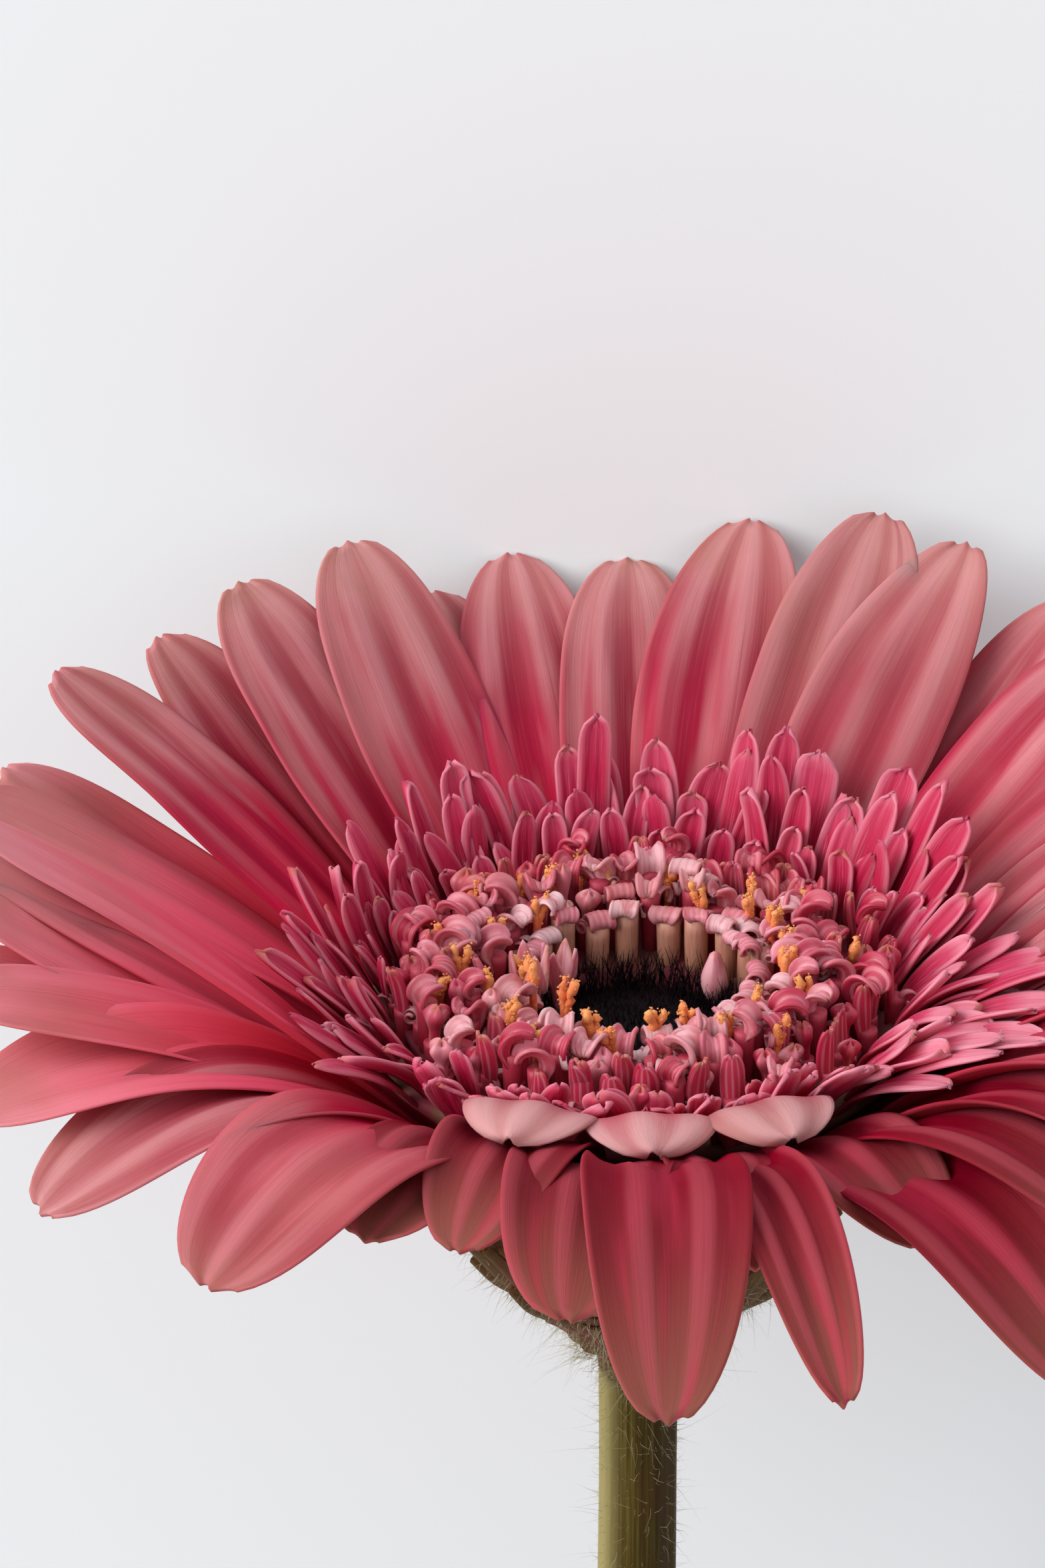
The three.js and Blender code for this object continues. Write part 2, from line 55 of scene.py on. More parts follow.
STEM_LENGTH, STEM_SWAY = 325, 9
CUT_SLANT = 0.8  # run of the slanting cut for each millimetre across the stem
TIP_BITE, FOOT_BITE = 0.55, 0.2  # how much of a petal's tip and of the stem's foot the table flattens

# Azimuth, radius and height of each large ray's tip. Some have a width and an arch of their own.
FRONT_RAYS = [
    (0, 51, 8, 1, 30), (18, 50, 12), (35, 49, 15), (57, 47, 16.5), (66, 48, 16.5), (79, 49, 13.3, 1.1),
    (91, 48, 10), (102.5, 49, 10.4, 1.1), (119, 47.5, 15.4, 1.12), (131, 47.5, 14.6, 1.15), (152, 50, 12.6),
    (168, 50, 8), (200, 48.5, 19.8, 1, 8), (205, 50.5, -1, 1.2, 38), (216, 49.5, -3.6, 1.05, 46),
    (233, 47, -4, 1.22, 50), (252, 38, -2.5, 0.9, 54), (272, 53, -4, 0.97, 54), (284, 53, -4, 0.55, 50),
    (300, 38.5, -3.4, 0.95, 52), (314, 50, -3, 1.1, 48), (330, 53, 0, 1, 46), (347, 52, 4.5, 1, 36),
]
BACK_RAYS = [
    (9, 50, 7), (27, 50, 11), (45, 49, 13.5), (62, 48, 11), (73, 47.5, 11), (86, 42, 5), (97, 42, 3.5),
    (111, 47, 10), (126, 48, 11), (139, 49, 12.2), (160, 50.5, 8), (175, 50, 8), (183, 50.3, 7.4),
    (190, 50.5, 5.2), (197, 50.5, 4.4), (242, 38, -3.4, 0.95, 54), (264, 43, -3.4, 0.96, 56),
    (281, 39, -2.5, 0.75, 54), (304, 54, -7.5, 1.05, 50), (322, 52, -3), (338, 52, 0, 1, 42),
    (355, 51, 4, 1, 34),
]
RAY_HALF_WIDTH = 5.7
RAY_ROOT = (9.5, -17.2)  # radius, height
RAY_ROOT_LEAN = 45
WHORL_DROP = 1.8
RAISED_ARCH, DROOPING_ARCH = 8, 54
RAISED_REACH, DROOPING_REACH = 0.38, 0.57  # how far the root's lean carries, as a share of the chord
RAISED_SIDE = 106  # azimuth of the side where the rays stand up
RAY_SOLID_THICKNESS = 0.7

# Rows of trans florets from the outside in, with the solids' radius, height, length, lean and fall.
TRANS_ROWS = [
    dict(count=46, radius=19.3, height=-5.3, length=13.0, half_width=1.5, lean=60, fall=28),
    dict(count=48, radius=18.9, height=-4.8, length=10.6, half_width=1.3, lean=62, fall=31),
    dict(count=46, radius=18.5, height=-4.4, length=8.3, half_width=1.15, lean=66, fall=31),
    dict(count=44, radius=18.1, height=-4.1, length=6.3, half_width=0.98, lean=72, fall=28),
]
MIDDLE_RAYS = dict(count=3, first=253.5, step=18.5, length=13, half_width=4.6, root_lean=66, tip_lean=-20)

# Rows of disc florets from the eye outwards: the height of their tips, how much less it is on the near side
# and more on the far one, and the shares of rolled lips, hooded lips and shut florets. The others have erect
# lips.
DISC_ROWS = [
    dict(count=23, radius=9.0, tip=-0.7, rake=1.2, rolled=0.85, hooded=0.13, shut=0.0),
    dict(count=28, radius=10.9, tip=0.5, rake=0.8, rolled=0.2, hooded=0.66, shut=0.1),
    dict(count=34, radius=12.6, tip=1.1, rake=0.3, rolled=0.12, hooded=0.56, shut=0.26),
    dict(count=40, radius=14.2, tip=1.2, rake=0.0, rolled=0.08, hooded=0.42, shut=0.38),
    dict(count=44, radius=15.8, tip=1.0, rake=0.0, rolled=0.05, hooded=0.3, shut=0.45),
    dict(count=46, radius=17.3, tip=0.7, rake=0.0, rolled=0.0, hooded=0.2, shut=0.4),
]
DISC_ROOT_HEIGHT = -4.8
EYE_RADIUS, EYE_RIM, EYE_CROWN = 7.5, -5.2, -4.4
# Outlines, as radius and height, of what the florets and bracts stand on.
HUB = [(0, -19.7), (10.6, -19.7), (12.4, -16.0), (11.6, -15.5), (0, -15.5)]
DISC_BED = [(0, -11.4), (9.2, -11.5), (17.2, -3.9), (17.2, -3.4), (7.9, -4.5), (7.0, -6.0), (0, -6.0)]
CUSHION = [
    (0, -11.2), (EYE_RADIUS, -11.2), (EYE_RADIUS + 0.3, EYE_RIM - 0.6), (EYE_RADIUS * 0.8, EYE_RIM),
    (EYE_RADIUS * 0.4, EYE_CROWN - 0.2), (0, EYE_CROWN),
]
DISH = [(0, -14.6), (10.4, -14.6), (20, -4.95), (20, -4.2), (18.2, -3.6), (9.7, -12), (0, -12)]
CUP = [(NECK_RADIUS, -34), (3.3, -31.5), (4.3, -28.6), (7.4, -25.6), (10.4, -23.3), (12, -21.4), (12.2, -20)]
SEED = 11.7


# ---------------------------------------------------------------- small helpers
def mix(a, b, t):
    return a + (b - a) * t


def smooth(start, end, x):
    t = np.clip((x - start) / (end - start), 0, 1)
    return t * t * (3 - 2 * t)


def draw(index, channel):
    """A draw from 0 to 1 that is the same on every run. Each use of a floret's draws has its own channel."""
    return (math.sin(index * 12.9898 + channel * 78.233 + SEED) * 43758.5453) % 1.0


def around(index, channel, spread):
    """A draw from -spread to spread."""
    return (2 * draw(index, channel) - 1) * spread


def facing(azimuth, side, start, end=1.0):
    """From 0 to 1 as an azimuth turns towards a side, between two cosines of the angle from it."""
    return float(smooth(start, end, math.cos(math.radians(azimuth - side))))


def closing(u, start, end, power):
    """From 1 to 0 between two shares, like the sides of a petal's round end."""
    return np.sqrt(1 - np.clip((u - start) / (end - start), 0, 1) ** power)


def unit(vectors):
    return vectors / np.maximum(np.linalg.norm(vectors, axis=-1, keepdims=True), 1e-12)


def heading(lean):
    return np.array([math.cos(math.radians(lean)), math.sin(math.radians(lean))])


TILT = math.radians(HEAD_TILT)
HEAD_AXES = np.array([
    [0.0, -1.0, 0.0],
    [math.sin(TILT), 0.0, -math.cos(TILT)],
    [math.cos(TILT), 0.0, math.sin(TILT)],
])


def to_part(points):
    """Points of the head frame in the part's own frame, in millimetres."""
    return HEAD_CENTRE + np.asarray(points) @ HEAD_AXES


def polar(radius, turn, height):
    """Points about an axis, from their radius, turn in radians and height."""
    return np.stack(np.broadcast_arrays(radius * np.cos(turn), radius * np.sin(turn), height), -1)


def round_turns(sides):
    return np.linspace(0, 2 * np.pi, sides, endpoint=False)


def rings_of(side, other, sides):
    """For each pair of square unit vectors, unit vectors all round their plane."""
    turns = round_turns(sides)[:, None]
    return side[:, None] * np.cos(turns) + other[:, None] * np.sin(turns)


def on_table(points, clear=0.02):
    """Presses what reaches below the table flat against it."""
    pressed = np.array(points, float)
    pressed[..., 2] = np.maximum(pressed[..., 2], clear)
    return pressed


def run_along(points):
    """How far each point of a line is from its start."""
    return np.append(0, np.cumsum(np.linalg.norm(np.diff(points, axis=0), axis=1)))


def evenly(points, count):
    """The shares, the points and the whole length of a line when its points are spaced evenly."""
    run = run_along(points)
    shares = np.linspace(0, 1, count)
    return shares, np.stack([np.interp(shares * run[-1], run, line) for line in points.T], -1), run[-1]


def bezier(controls, count):
    t = np.linspace(0, 1, count)[:, None]
    weights = [(1 - t) ** 3, 3 * (1 - t) ** 2 * t, 3 * (1 - t) * t**2, t**3]
    return sum(weight * control for weight, control in zip(weights, controls))


# ---------------------------------------------------------------- mesh building
class Builder:
    """Gathers closed shells, in millimetres in the part's frame, into one mesh.

    Each point keeps a place on its shell: its share along, its place across and a draw of the shell's own.
    Under is 1 on a petal's underside. Flush says how strong a crimson a shell is; on the large rays a high
    flush is painted shade and one below 0 a painted glow.
    """

    def __init__(self):
        self.points, self.places, self.unders, self.flushes_and_painted_light = [], [], [], []
        self.quads, self.triangles = [], []
        self.total = 0

    def add(self, points, places, quads=(), triangles=(), under=None, flush_and_painted_light=0.0):
        points = np.asarray(points, float).reshape(-1, 3)
        self.points.append(points)
        self.places.append(np.asarray(places, float).reshape(-1, 3))
        self.unders.append(np.zeros(len(points)) if under is None else under)
        self.flushes_and_painted_light.append(np.full(len(points), flush_and_painted_light))
        self.quads.append(np.asarray(quads, int).reshape(-1, 4) + self.total)
        self.triangles.append(np.asarray(triangles, int).reshape(-1, 3) + self.total)
        self.total += len(points)

    def build(self, name, material):
        quads, triangles = np.concatenate(self.quads), np.concatenate(self.triangles)
        mesh = bpy.data.meshes.new(name)
        mesh.vertices.add(self.total)
        mesh.vertices.foreach_set("co", (np.concatenate(self.points) * MM).ravel())
        mesh.loops.add(quads.size + triangles.size)
        mesh.loops.foreach_set("vertex_index", np.concatenate([quads.ravel(), triangles.ravel()]))
        mesh.polygons.add(len(quads) + len(triangles))
        starts = np.concatenate([
            np.arange(len(quads)) * 4,
            quads.size + np.arange(len(triangles)) * 3,
        ])
        mesh.polygons.foreach_set("loop_start", starts)
        mesh.update(calc_edges=True)
        mesh.shade_smooth()
        place = mesh.attributes.new("place", "FLOAT_VECTOR", "POINT")
        place.data.foreach_set("vector", np.concatenate(self.places).ravel())
        for name, values in (("under", self.unders), ("flush_and_painted_light", self.flushes_and_painted_light)):
            attribute = mesh.attributes.new(name, "FLOAT", "POINT")
            attribute.data.foreach_set("value", np.concatenate(values))
        mesh.materials.append(material)
        piece = bpy.data.objects.new(mesh.name, mesh)
        bpy.context.scene.collection.objects.link(piece)
        return piece


def shell_faces(rows, columns):
    """The quads of a closed sheet: an upper grid, a lower one and the rim that joins them."""
    grid = np.arange(rows * columns).reshape(rows, columns)
    a, b, c, d = grid[:-1, :-1], grid[1:, :-1], grid[1:, 1:], grid[:-1, 1:]
    upper = np.stack([a, b, c, d], -1).reshape(-1, 4)
    lower = (upper + rows * columns)[:, ::-1]
    ring = np.concatenate([grid[:-1, 0], grid[-1, :-1], grid[:0:-1, -1], grid[0, :0:-1]])
    after = np.roll(ring, -1)
    rim = np.stack([ring, ring + rows * columns, after + rows * columns, after], -1)
    return np.concatenate([upper, lower, rim])


def add_sheet(builder, points, u, v, tone, thickness, flush_and_painted_light=0.0):
    """Adds a sheet given by a grid of points in the part's frame, with its thickness at each."""
    along, across = np.gradient(points, axis=0), np.gradient(points, axis=1)
    normals = unit(np.cross(along, across))
    half = (np.broadcast_to(thickness, u.shape) / 2)[..., None]
    both = np.concatenate([points + normals * half, points - normals * half])
    places = np.stack([u, v, np.full(u.shape, tone)], -1)
    under = np.repeat([0.0, 1.0], u.size)
    builder.add(on_table(both), np.concatenate([places, places]), shell_faces(*u.shape), (), under, flush_and_painted_light)


def wall_quads(grid):
    """The quads between rings of points, given as a grid of their numbers with one ring to a row."""
    after = np.roll(grid, -1, axis=1)
    return np.stack([grid[:-1], after[:-1], after[1:], grid[1:]], -1).reshape(-1, 4)


def add_rings(builder, walls, ends, along, tone, flush_and_painted_light=0.0, wrap=1.0, mirrored=False):
    """Adds a closed body of rings of points with one point more at either end.

    Along has the share of each ring, and then of the ends where they don't have the first and last ring's.
    The place across goes from -wrap to wrap round a ring. Mirrored is for rings that turn the other way.
    """
    rows, sides = walls.shape[:2]
    grid = np.arange(rows * sides).reshape(rows, sides)
    after = np.roll(grid, -1, axis=1)
    quads = wall_quads(grid)
    caps = np.concatenate([
        np.stack([after[0], grid[0], np.full(sides, rows * sides)], -1),
        np.stack([grid[-1], after[-1], np.full(sides, rows * sides + 1)], -1),
    ])
    if mirrored:
        quads, caps = quads[:, [0, 3, 2, 1]], caps[:, [1, 0, 2]]
    along = np.asarray(along)
    at_ends = along[rows:] if len(along) > rows else along[[0, -1]]
    shares = np.concatenate([np.repeat(along[:rows], sides), at_ends])
    across = np.concatenate([np.tile(round_turns(sides) / np.pi - 1, rows), [0, 0]]) * wrap
    places = np.stack([shares, across, np.full(len(shares), tone)], -1)
    builder.add(on_table(np.concatenate([walls.reshape(-1, 3), ends])), places, quads, caps, None, flush_and_painted_light)


def add_tube(builder, centres, radii, tone, sides):
    """Adds a closed round tube along a line of centres in the part's frame."""
    tangents = unit(np.gradient(centres, axis=0))
    guide = np.array([0.0, 0.0, 1.0]) if abs(tangents[0][2]) < 0.9 else np.array([0.0, 1.0, 0.0])
    side = unit(np.cross(tangents, guide))
    rings = rings_of(side, np.cross(tangents, side), sides)
    walls = centres[:, None] + rings * radii[:, None, None]
    add_rings(builder, walls, centres[[0, -1]], np.linspace(0, 1, len(centres)), tone)


def add_strands(builder, roots, directions, bends, lengths, radius, rings=4):
    """Adds many thin tapering three-sided strands at once."""
    count, sides = len(roots), 3
    share = np.linspace(0, 1, rings)
    t = share[None, :, None]
    reach = lengths[:, None, None]
    centres = roots[:, None] + directions[:, None] * reach * t + bends[:, None] * reach * t * t
    side = unit(np.cross(directions, directions[:, [1, 2, 0]] + 0.31))
    ring = rings_of(side, np.cross(directions, side), sides)
    taper = (1 - 0.85 * share)[None, :, None, None]
    points = centres[:, :, None] + ring[:, None] * taper * np.reshape(radius, (-1, 1, 1, 1))
    base = (np.arange(count) * rings * sides)[:, None, None]
    grid = np.arange(rings * sides).reshape(rings, sides)
    quads = (base + wall_quads(grid)).reshape(-1, 4)
    triangles = (base + np.array([grid[0][::-1], grid[-1]])).reshape(-1, 3)
    shares = np.broadcast_to(share[None, :, None], (count, rings, sides))
    tones = np.broadcast_to(np.random.default_rng(count).random(count)[:, None, None], shares.shape)
    places = np.stack([shares, np.zeros(shares.shape), tones], -1)
    builder.add(on_table(points.reshape(-1, 3)), places, quads, triangles)


def add_lathe(builder, outline, sides, ripples=0, depth=0.0):
    """Adds a closed body turned about the head's axis. Its outline starts and ends there."""
    outline = np.asarray(outline, float)
    turns = round_turns(sides)
    walls = polar(outline[1:-1, :1] + depth * np.cos(ripples * turns), turns, outline[1:-1, 1:])
    ends = polar(0, 0, outline[[0, -1], 1])
    add_rings(builder, to_part(walls), to_part(ends), np.linspace(0, 1, len(walls)), 0)


# ---------------------------------------------------------------- where a floret runs
def leaning(radius, height, length, lean, steps=40):
    """A line from its root whose lean is a function of the share run."""
    angles = np.radians(lean((np.arange(steps) + 0.5) / steps)) * np.ones(steps)
    radii = radius + np.append(0, np.cumsum(np.cos(angles))) * length / steps
    heights = height + np.append(0, np.cumsum(np.sin(angles))) * length / steps
    shares = np.linspace(0, 1, steps + 1)
    return lambda u: (np.interp(u, shares, radii), np.interp(u, shares, heights), np.radians(lean(u)))


def reaching(root, root_lean, tip, tip_lean, root_reach, tip_reach):
    """A line from a root to a tip with the lean given at both, and how far the line keeps to each."""
    chord = np.linalg.norm(tip - root)
    leaves = root + chord * root_reach * heading(root_lean)
    arrives = tip - chord * tip_reach * heading(tip_lean)
    points = bezier([root, leaves, arrives, tip], 241)
    steps, run = np.diff(points, axis=0), run_along(points)
    middle = (run[:-1] + run[1:]) / 2
    angle = np.unwrap(np.arctan2(steps[:, 1], steps[:, 0]))
    return lambda u: (
        np.interp(u * run[-1], run, points[:, 0]),
        np.interp(u * run[-1], run, points[:, 1]),
        np.interp(u * run[-1], middle, angle),
    )


def surface(line, azimuth, u, v, half_width, rise, roll=0.0, sway=0.0, foot=(0, 0, 0)):
    """Points of a floret's surface in the part's frame. Sway moves its middle line aside, foot the whole."""
    r, z, angle = (x[..., None] for x in line(u))
    turn = np.radians(roll) * u[..., None]
    a = math.radians(azimuth)
    outward, aside, up = polar(1, a, 0), polar(1, a + math.pi / 2, 0), np.array([0, 0, 1])
    flat = -outward * np.sin(angle) + up * np.cos(angle)
    normal = flat * np.cos(turn) - aside * np.sin(turn)
    across = aside * np.cos(turn) + flat * np.sin(turn)
    offset = np.broadcast_to(v * half_width + sway, u.shape)[..., None]
    lift = np.broadcast_to(rise, u.shape)[..., None]
    return to_part(outward * r + up * z + across * offset + normal * lift + np.array(foot))


def grid_of(rows, columns, edge=0.35):
    """Shares along and places across for a sheet, closer together towards its edges."""
    s = np.linspace(-1, 1, columns)
    return np.broadcast_arrays(np.linspace(0, 1, rows)[:, None], mix(s, np.sin(s * np.pi / 2), edge))


# ---------------------------------------------------------------- ray florets
PLEATS, PLEAT_HEIGHT = 1.3, 0.24  # waves from the middle line to an edge, and their height
RIBS, RIB_HEIGHT = 3.6, 0.042  # the same of the finer ribs
RAY_THICKNESS = 0.36
RAISED_CUP, DROOPING_CUP = 0.5, 1.0  # how far the edges stand over the middle line
FRONT_LAP, BACK_LAP = (0.9, 0.2), (0.25, -0.9)  # rise of one edge and of the whole where raised rays overlap
# How far a ray's breadth, roll, sway and tip curl differ from the others'.
BREADTH_SPREAD, ROLL_SPREAD, SWAY_SPREAD, CURL_SPREAD = 0.07, 5, 0.9, 0.8
FADED_SIDE = 12  # azimuth where the pale colour of the tips reaches furthest down the rays
PAINTED_SHADE_SIDE, PAINTED_GLOW_SIDE = 282, 186  # azimuths where the rays are painted deepest crimson as shade and hottest pink as a glow


def raised(azimuth):
    """1 where the rays stand up and overlap, 0 where they droop."""
    return facing(azimuth, RAISED_SIDE, -0.36, 0.26)


def ray_outline(u, tip_shape):
    """A ray's width as a share of its greatest."""
    return (0.27 + 0.73 * smooth(0, 0.66, u)) * closing(u, 0.6, 1.002, tip_shape)


def ray_floret(builder, whorl, k):
    """A large ray: pleated and ribbed, cupped, notched at its tip and lapped over its neighbours."""
    ident = whorl * len(FRONT_RAYS) + k
    azimuth, tip_radius, tip_height, *own = (BACK_RAYS if whorl else FRONT_RAYS)[k]
    root = np.array([RAY_ROOT[0], RAY_ROOT[1] - whorl * WHORL_DROP])
    standing = raised(azimuth)
    arch = own[1] if len(own) > 1 else mix(DROOPING_ARCH, RAISED_ARCH, standing)
    root_reach, tip_reach = mix(DROOPING_REACH, RAISED_REACH, standing), 0.3 + 0.7 * (arch / 100) ** 2
    half_width = RAY_HALF_WIDTH * (own[0] if own else 1 + around(ident, 6, BREADTH_SPREAD))
    roll, tone = around(ident, 4, ROLL_SPREAD), draw(ident, 9)
    tip_shape = 2.9 + around(ident, 10, 0.7)

    def place(press, u, v, rise, sway=0.0):
        turn = math.radians(press)
        spin = np.array([[math.cos(turn), math.sin(turn)], [-math.sin(turn), math.cos(turn)]])
        tip = root + (np.array([tip_radius, tip_height]) - root) @ spin
        chord = math.degrees(math.atan2(*(tip - root)[::-1]))
        line = reaching(root, RAY_ROOT_LEAN, tip, chord - arch, root_reach, tip_reach)
        return surface(line, azimuth, u, v, half_width * ray_outline(u, tip_shape), rise, roll, sway)

    u, v = grid_of(58, 23)
    pleats = PLEAT_HEIGHT * np.cos(2 * np.pi * (PLEATS * v + tone)) * (1 - smooth(0.7, 1, u))
    ribs = RIB_HEIGHT * np.cos(2 * np.pi * RIBS * v + 9 * tone) * (1 - smooth(0.75, 1, np.abs(v)))
    ribs = ribs * (1 - smooth(0.7, 1, u))
    cup = (mix(DROOPING_CUP, RAISED_CUP, standing) + around(ident, 7, 0.4)) * (v**2 - 0.35)
    relief = smooth(0.06, 0.45, u) * (pleats + ribs + cup * (1 - 0.6 * smooth(0.7, 1, u)))
    ripple = 0.25 * np.sin(9 * u + 7 * tone) * v**2 * u
    edge_rise, whole_rise = BACK_LAP if whorl else FRONT_LAP
    lap = (edge_rise * v + whole_rise) * standing * smooth(0.08, 0.4, u) * (1 - smooth(0.72, 0.98, u))
    curl = -around(ident, 8, CURL_SPREAD) * u**4
    notches = 0.004 * np.cos(np.pi * 2.4 * v + 5 * tone)
    reached = np.clip(u - u**8 * (0.012 * v**2 + 0.004 + notches), 0, 1)
    sway = around(ident, 3, SWAY_SPREAD) * np.sin(np.pi * u) * u
    points = place(press_of(place), reached, v, relief + ripple + lap + curl, sway)
    thickness = RAY_THICKNESS * (1 - 0.45 * v**4) * (1.9 - 0.9 * smooth(0, 0.35, u))
    # A high flush is painted shade on the near side, where the rays droop, and a flush below 0 is a painted
    # glow of light shining through the rays
    shade_nearness, glow = facing(azimuth, PAINTED_SHADE_SIDE, 0.2, 0.85), facing(azimuth, PAINTED_GLOW_SIDE, 0.82, 0.97)
    flush_and_painted_light = mix(0.15, 0.85, shade_nearness) + around(ident, 11, 0.05) - 0.8 * glow
    fading = 0.26 * facing(azimuth, FADED_SIDE, 0.8)
    add_sheet(builder, points, mix(u, 1, fading), v, tone, thickness, flush_and_painted_light)


TIP_STATIONS = np.array([0.64, 0.88, 1.0])
TIP_COLUMNS = np.array([-1, -0.34, 0.34, 1])


def press_of(place):
    """How far a ray that the table is in the way of leans forward until its tip just lies on the table."""
    u, v = np.meshgrid(TIP_STATIONS, TIP_COLUMNS, indexing="ij")
    rise = 0.3 * np.cos(2 * np.pi * v) + 0.2 * (v * v - 0.4)

    def lowest(press):
        return place(press, u, v, rise)[..., 2].min() - RAY_SOLID_THICKNESS / 2

    if lowest(0) > -TIP_BITE:
        return 0
    below, above = 0.0, 45.0
    for _ in range(24):
        half = (below + above) / 2
        if lowest(half) > -TIP_BITE:
            above = half
        else:
            below = half
    return above


# ---------------------------------------------------------------- trans florets
TRANS_THICKNESS = 0.3
# How far one floret differs from the next. The azimuth's is a share of the space between two.
TRANS_SPREAD = dict(
    azimuth=0.32, lean=11, length=0.17, roll=30, radius=0.4, half_width=0.2, sway=1.6, nod=1.2,
)
TRANS_CHANNELS = dict(enumerate(TRANS_SPREAD, start=1))  # the channel that each is drawn in
NEAR_SIDE = 270  # azimuth of the side where the middle rays press on the trans florets
SLIM_SIDE = 180  # azimuth of the side where the trans florets are shorter and slimmer
PALE_SIDE = 336  # azimuth of the side where they are paler and lie further out over the rays
# What is added on those sides: degrees of lean and fall, and shares of the fall, length and half width.
PRESSED = dict(lean=8, fall=-0.5, length=-0.4)
SLIM = dict(length=-0.16, half_width=-0.3)
PALE = dict(fall=14, length=0.14)


def trans_outline(u, shoulder):
    """A trans floret's width as a share of its greatest. Its sides begin to close at its shoulder."""
    return (0.55 + 0.45 * smooth(0, 0.6, u)) * closing(u, shoulder, 1.003, 2.6)


def among_middle_rays(azimuth):
    first, step, count = MIDDLE_RAYS["first"], MIDDLE_RAYS["step"], MIDDLE_RAYS["count"]
    return first - step / 2 < azimuth < first + step * (count - 0.5)


def trans_floret(builder, row, k):
    """A short slim ray. The middle rays take the place of those of the outermost row on the near side."""
    size = TRANS_ROWS[row]
    ident = 100 + row * 50 + k
    spread = {what: around(ident, channel, TRANS_SPREAD[what]) for channel, what in TRANS_CHANNELS.items()}
    azimuth = (k + row / 2 + spread["azimuth"]) * 360 / size["count"]
    if row == 0 and among_middle_rays(azimuth):
        return
    pressed = facing(azimuth, NEAR_SIDE, 0.55, 0.95)
    slim, pale = facing(azimuth, SLIM_SIDE, 0.3, 0.95), facing(azimuth, PALE_SIDE, 0.72)
    lean = size["lean"] + PRESSED["lean"] * pressed
    fall = size["fall"] * (1 + PRESSED["fall"] * pressed) + PALE["fall"] * pale
    fall = fall * (1 - raised(azimuth))
    root_lean, tip_lean = lean - 0.3 * fall, lean - fall + spread["lean"]
    length = size["length"] * (1 + spread["length"]) * (1 + PRESSED["length"] * pressed)
    line = leaning(
        size["radius"] + spread["radius"],
        size["height"],
        length * (1 + SLIM["length"] * slim) * (1 + PALE["length"] * pale),
        lambda u: mix(root_lean, tip_lean, smooth(0, 1, u)),
    )
    tone = draw(ident, 9)
    u, v = grid_of(26, 13)
    half_width = size["half_width"] * (1 + spread["half_width"]) * (1 + SLIM["half_width"] * slim)
    width = half_width * trans_outline(u, mix(0.55, 0.85, draw(ident, 12)))
    fold = mix(-0.25, 0.6, draw(ident, 13)) * smooth(0, 0.4, u) * v**2
    ribs = 0.06 * np.cos(3 * np.pi * v) * smooth(0.1, 0.5, u) * (1 - smooth(0.75, 1, u))
    notch = 0.012 * np.cos(2 * np.pi * v + 6 * tone)
    reached = np.clip(u - u**7 * (0.02 * v**2 + 0.012 + notch), 0, 1)
    rise = (fold + ribs) * size["half_width"] + spread["nod"] * u**2.5
    points = surface(line, azimuth, reached, v, width, rise, spread["roll"], spread["sway"] * u**2)
    flush_and_painted_light = draw(ident, 11) * (1 - pale) - pale
    add_sheet(builder, points, u, v, tone, TRANS_THICKNESS * (1 - 0.4 * v**4), flush_and_painted_light)


def middle_ray(builder, k):
    """A broad short ray that bends over the near rim of the disc."""
    ident = 400 + k
    size, root = MIDDLE_RAYS, TRANS_ROWS[0]
    line = leaning(
        root["radius"],
        root["height"],
        size["length"] * (1 + around(ident, 2, 0.06)),
        lambda u: mix(size["root_lean"], size["tip_lean"] + around(ident, 3, 8), smooth(0.2, 1, u)),
    )
    azimuth = size["first"] + size["step"] * k + around(ident, 1, 1)
    u, v = grid_of(34, 21)
    tone = draw(ident, 9)
    rise = -0.9 * v**2 * u + 0.1 * np.cos(2 * np.pi * (1.1 * v + tone)) * smooth(0.1, 0.6, u)
    reached = np.clip(u - 0.03 * u**5 * v**2, 0, 1)
    points = surface(line, azimuth, reached, v, size["half_width"] * ray_outline(u, 2.2), rise)
    add_sheet(builder, points, u, v, tone, RAY_THICKNESS)


# ---------------------------------------------------------------- disc
TUBE_RADIUS = 0.74
LIP_THICKNESS, CURL_THICKNESS = 0.22, 0.15


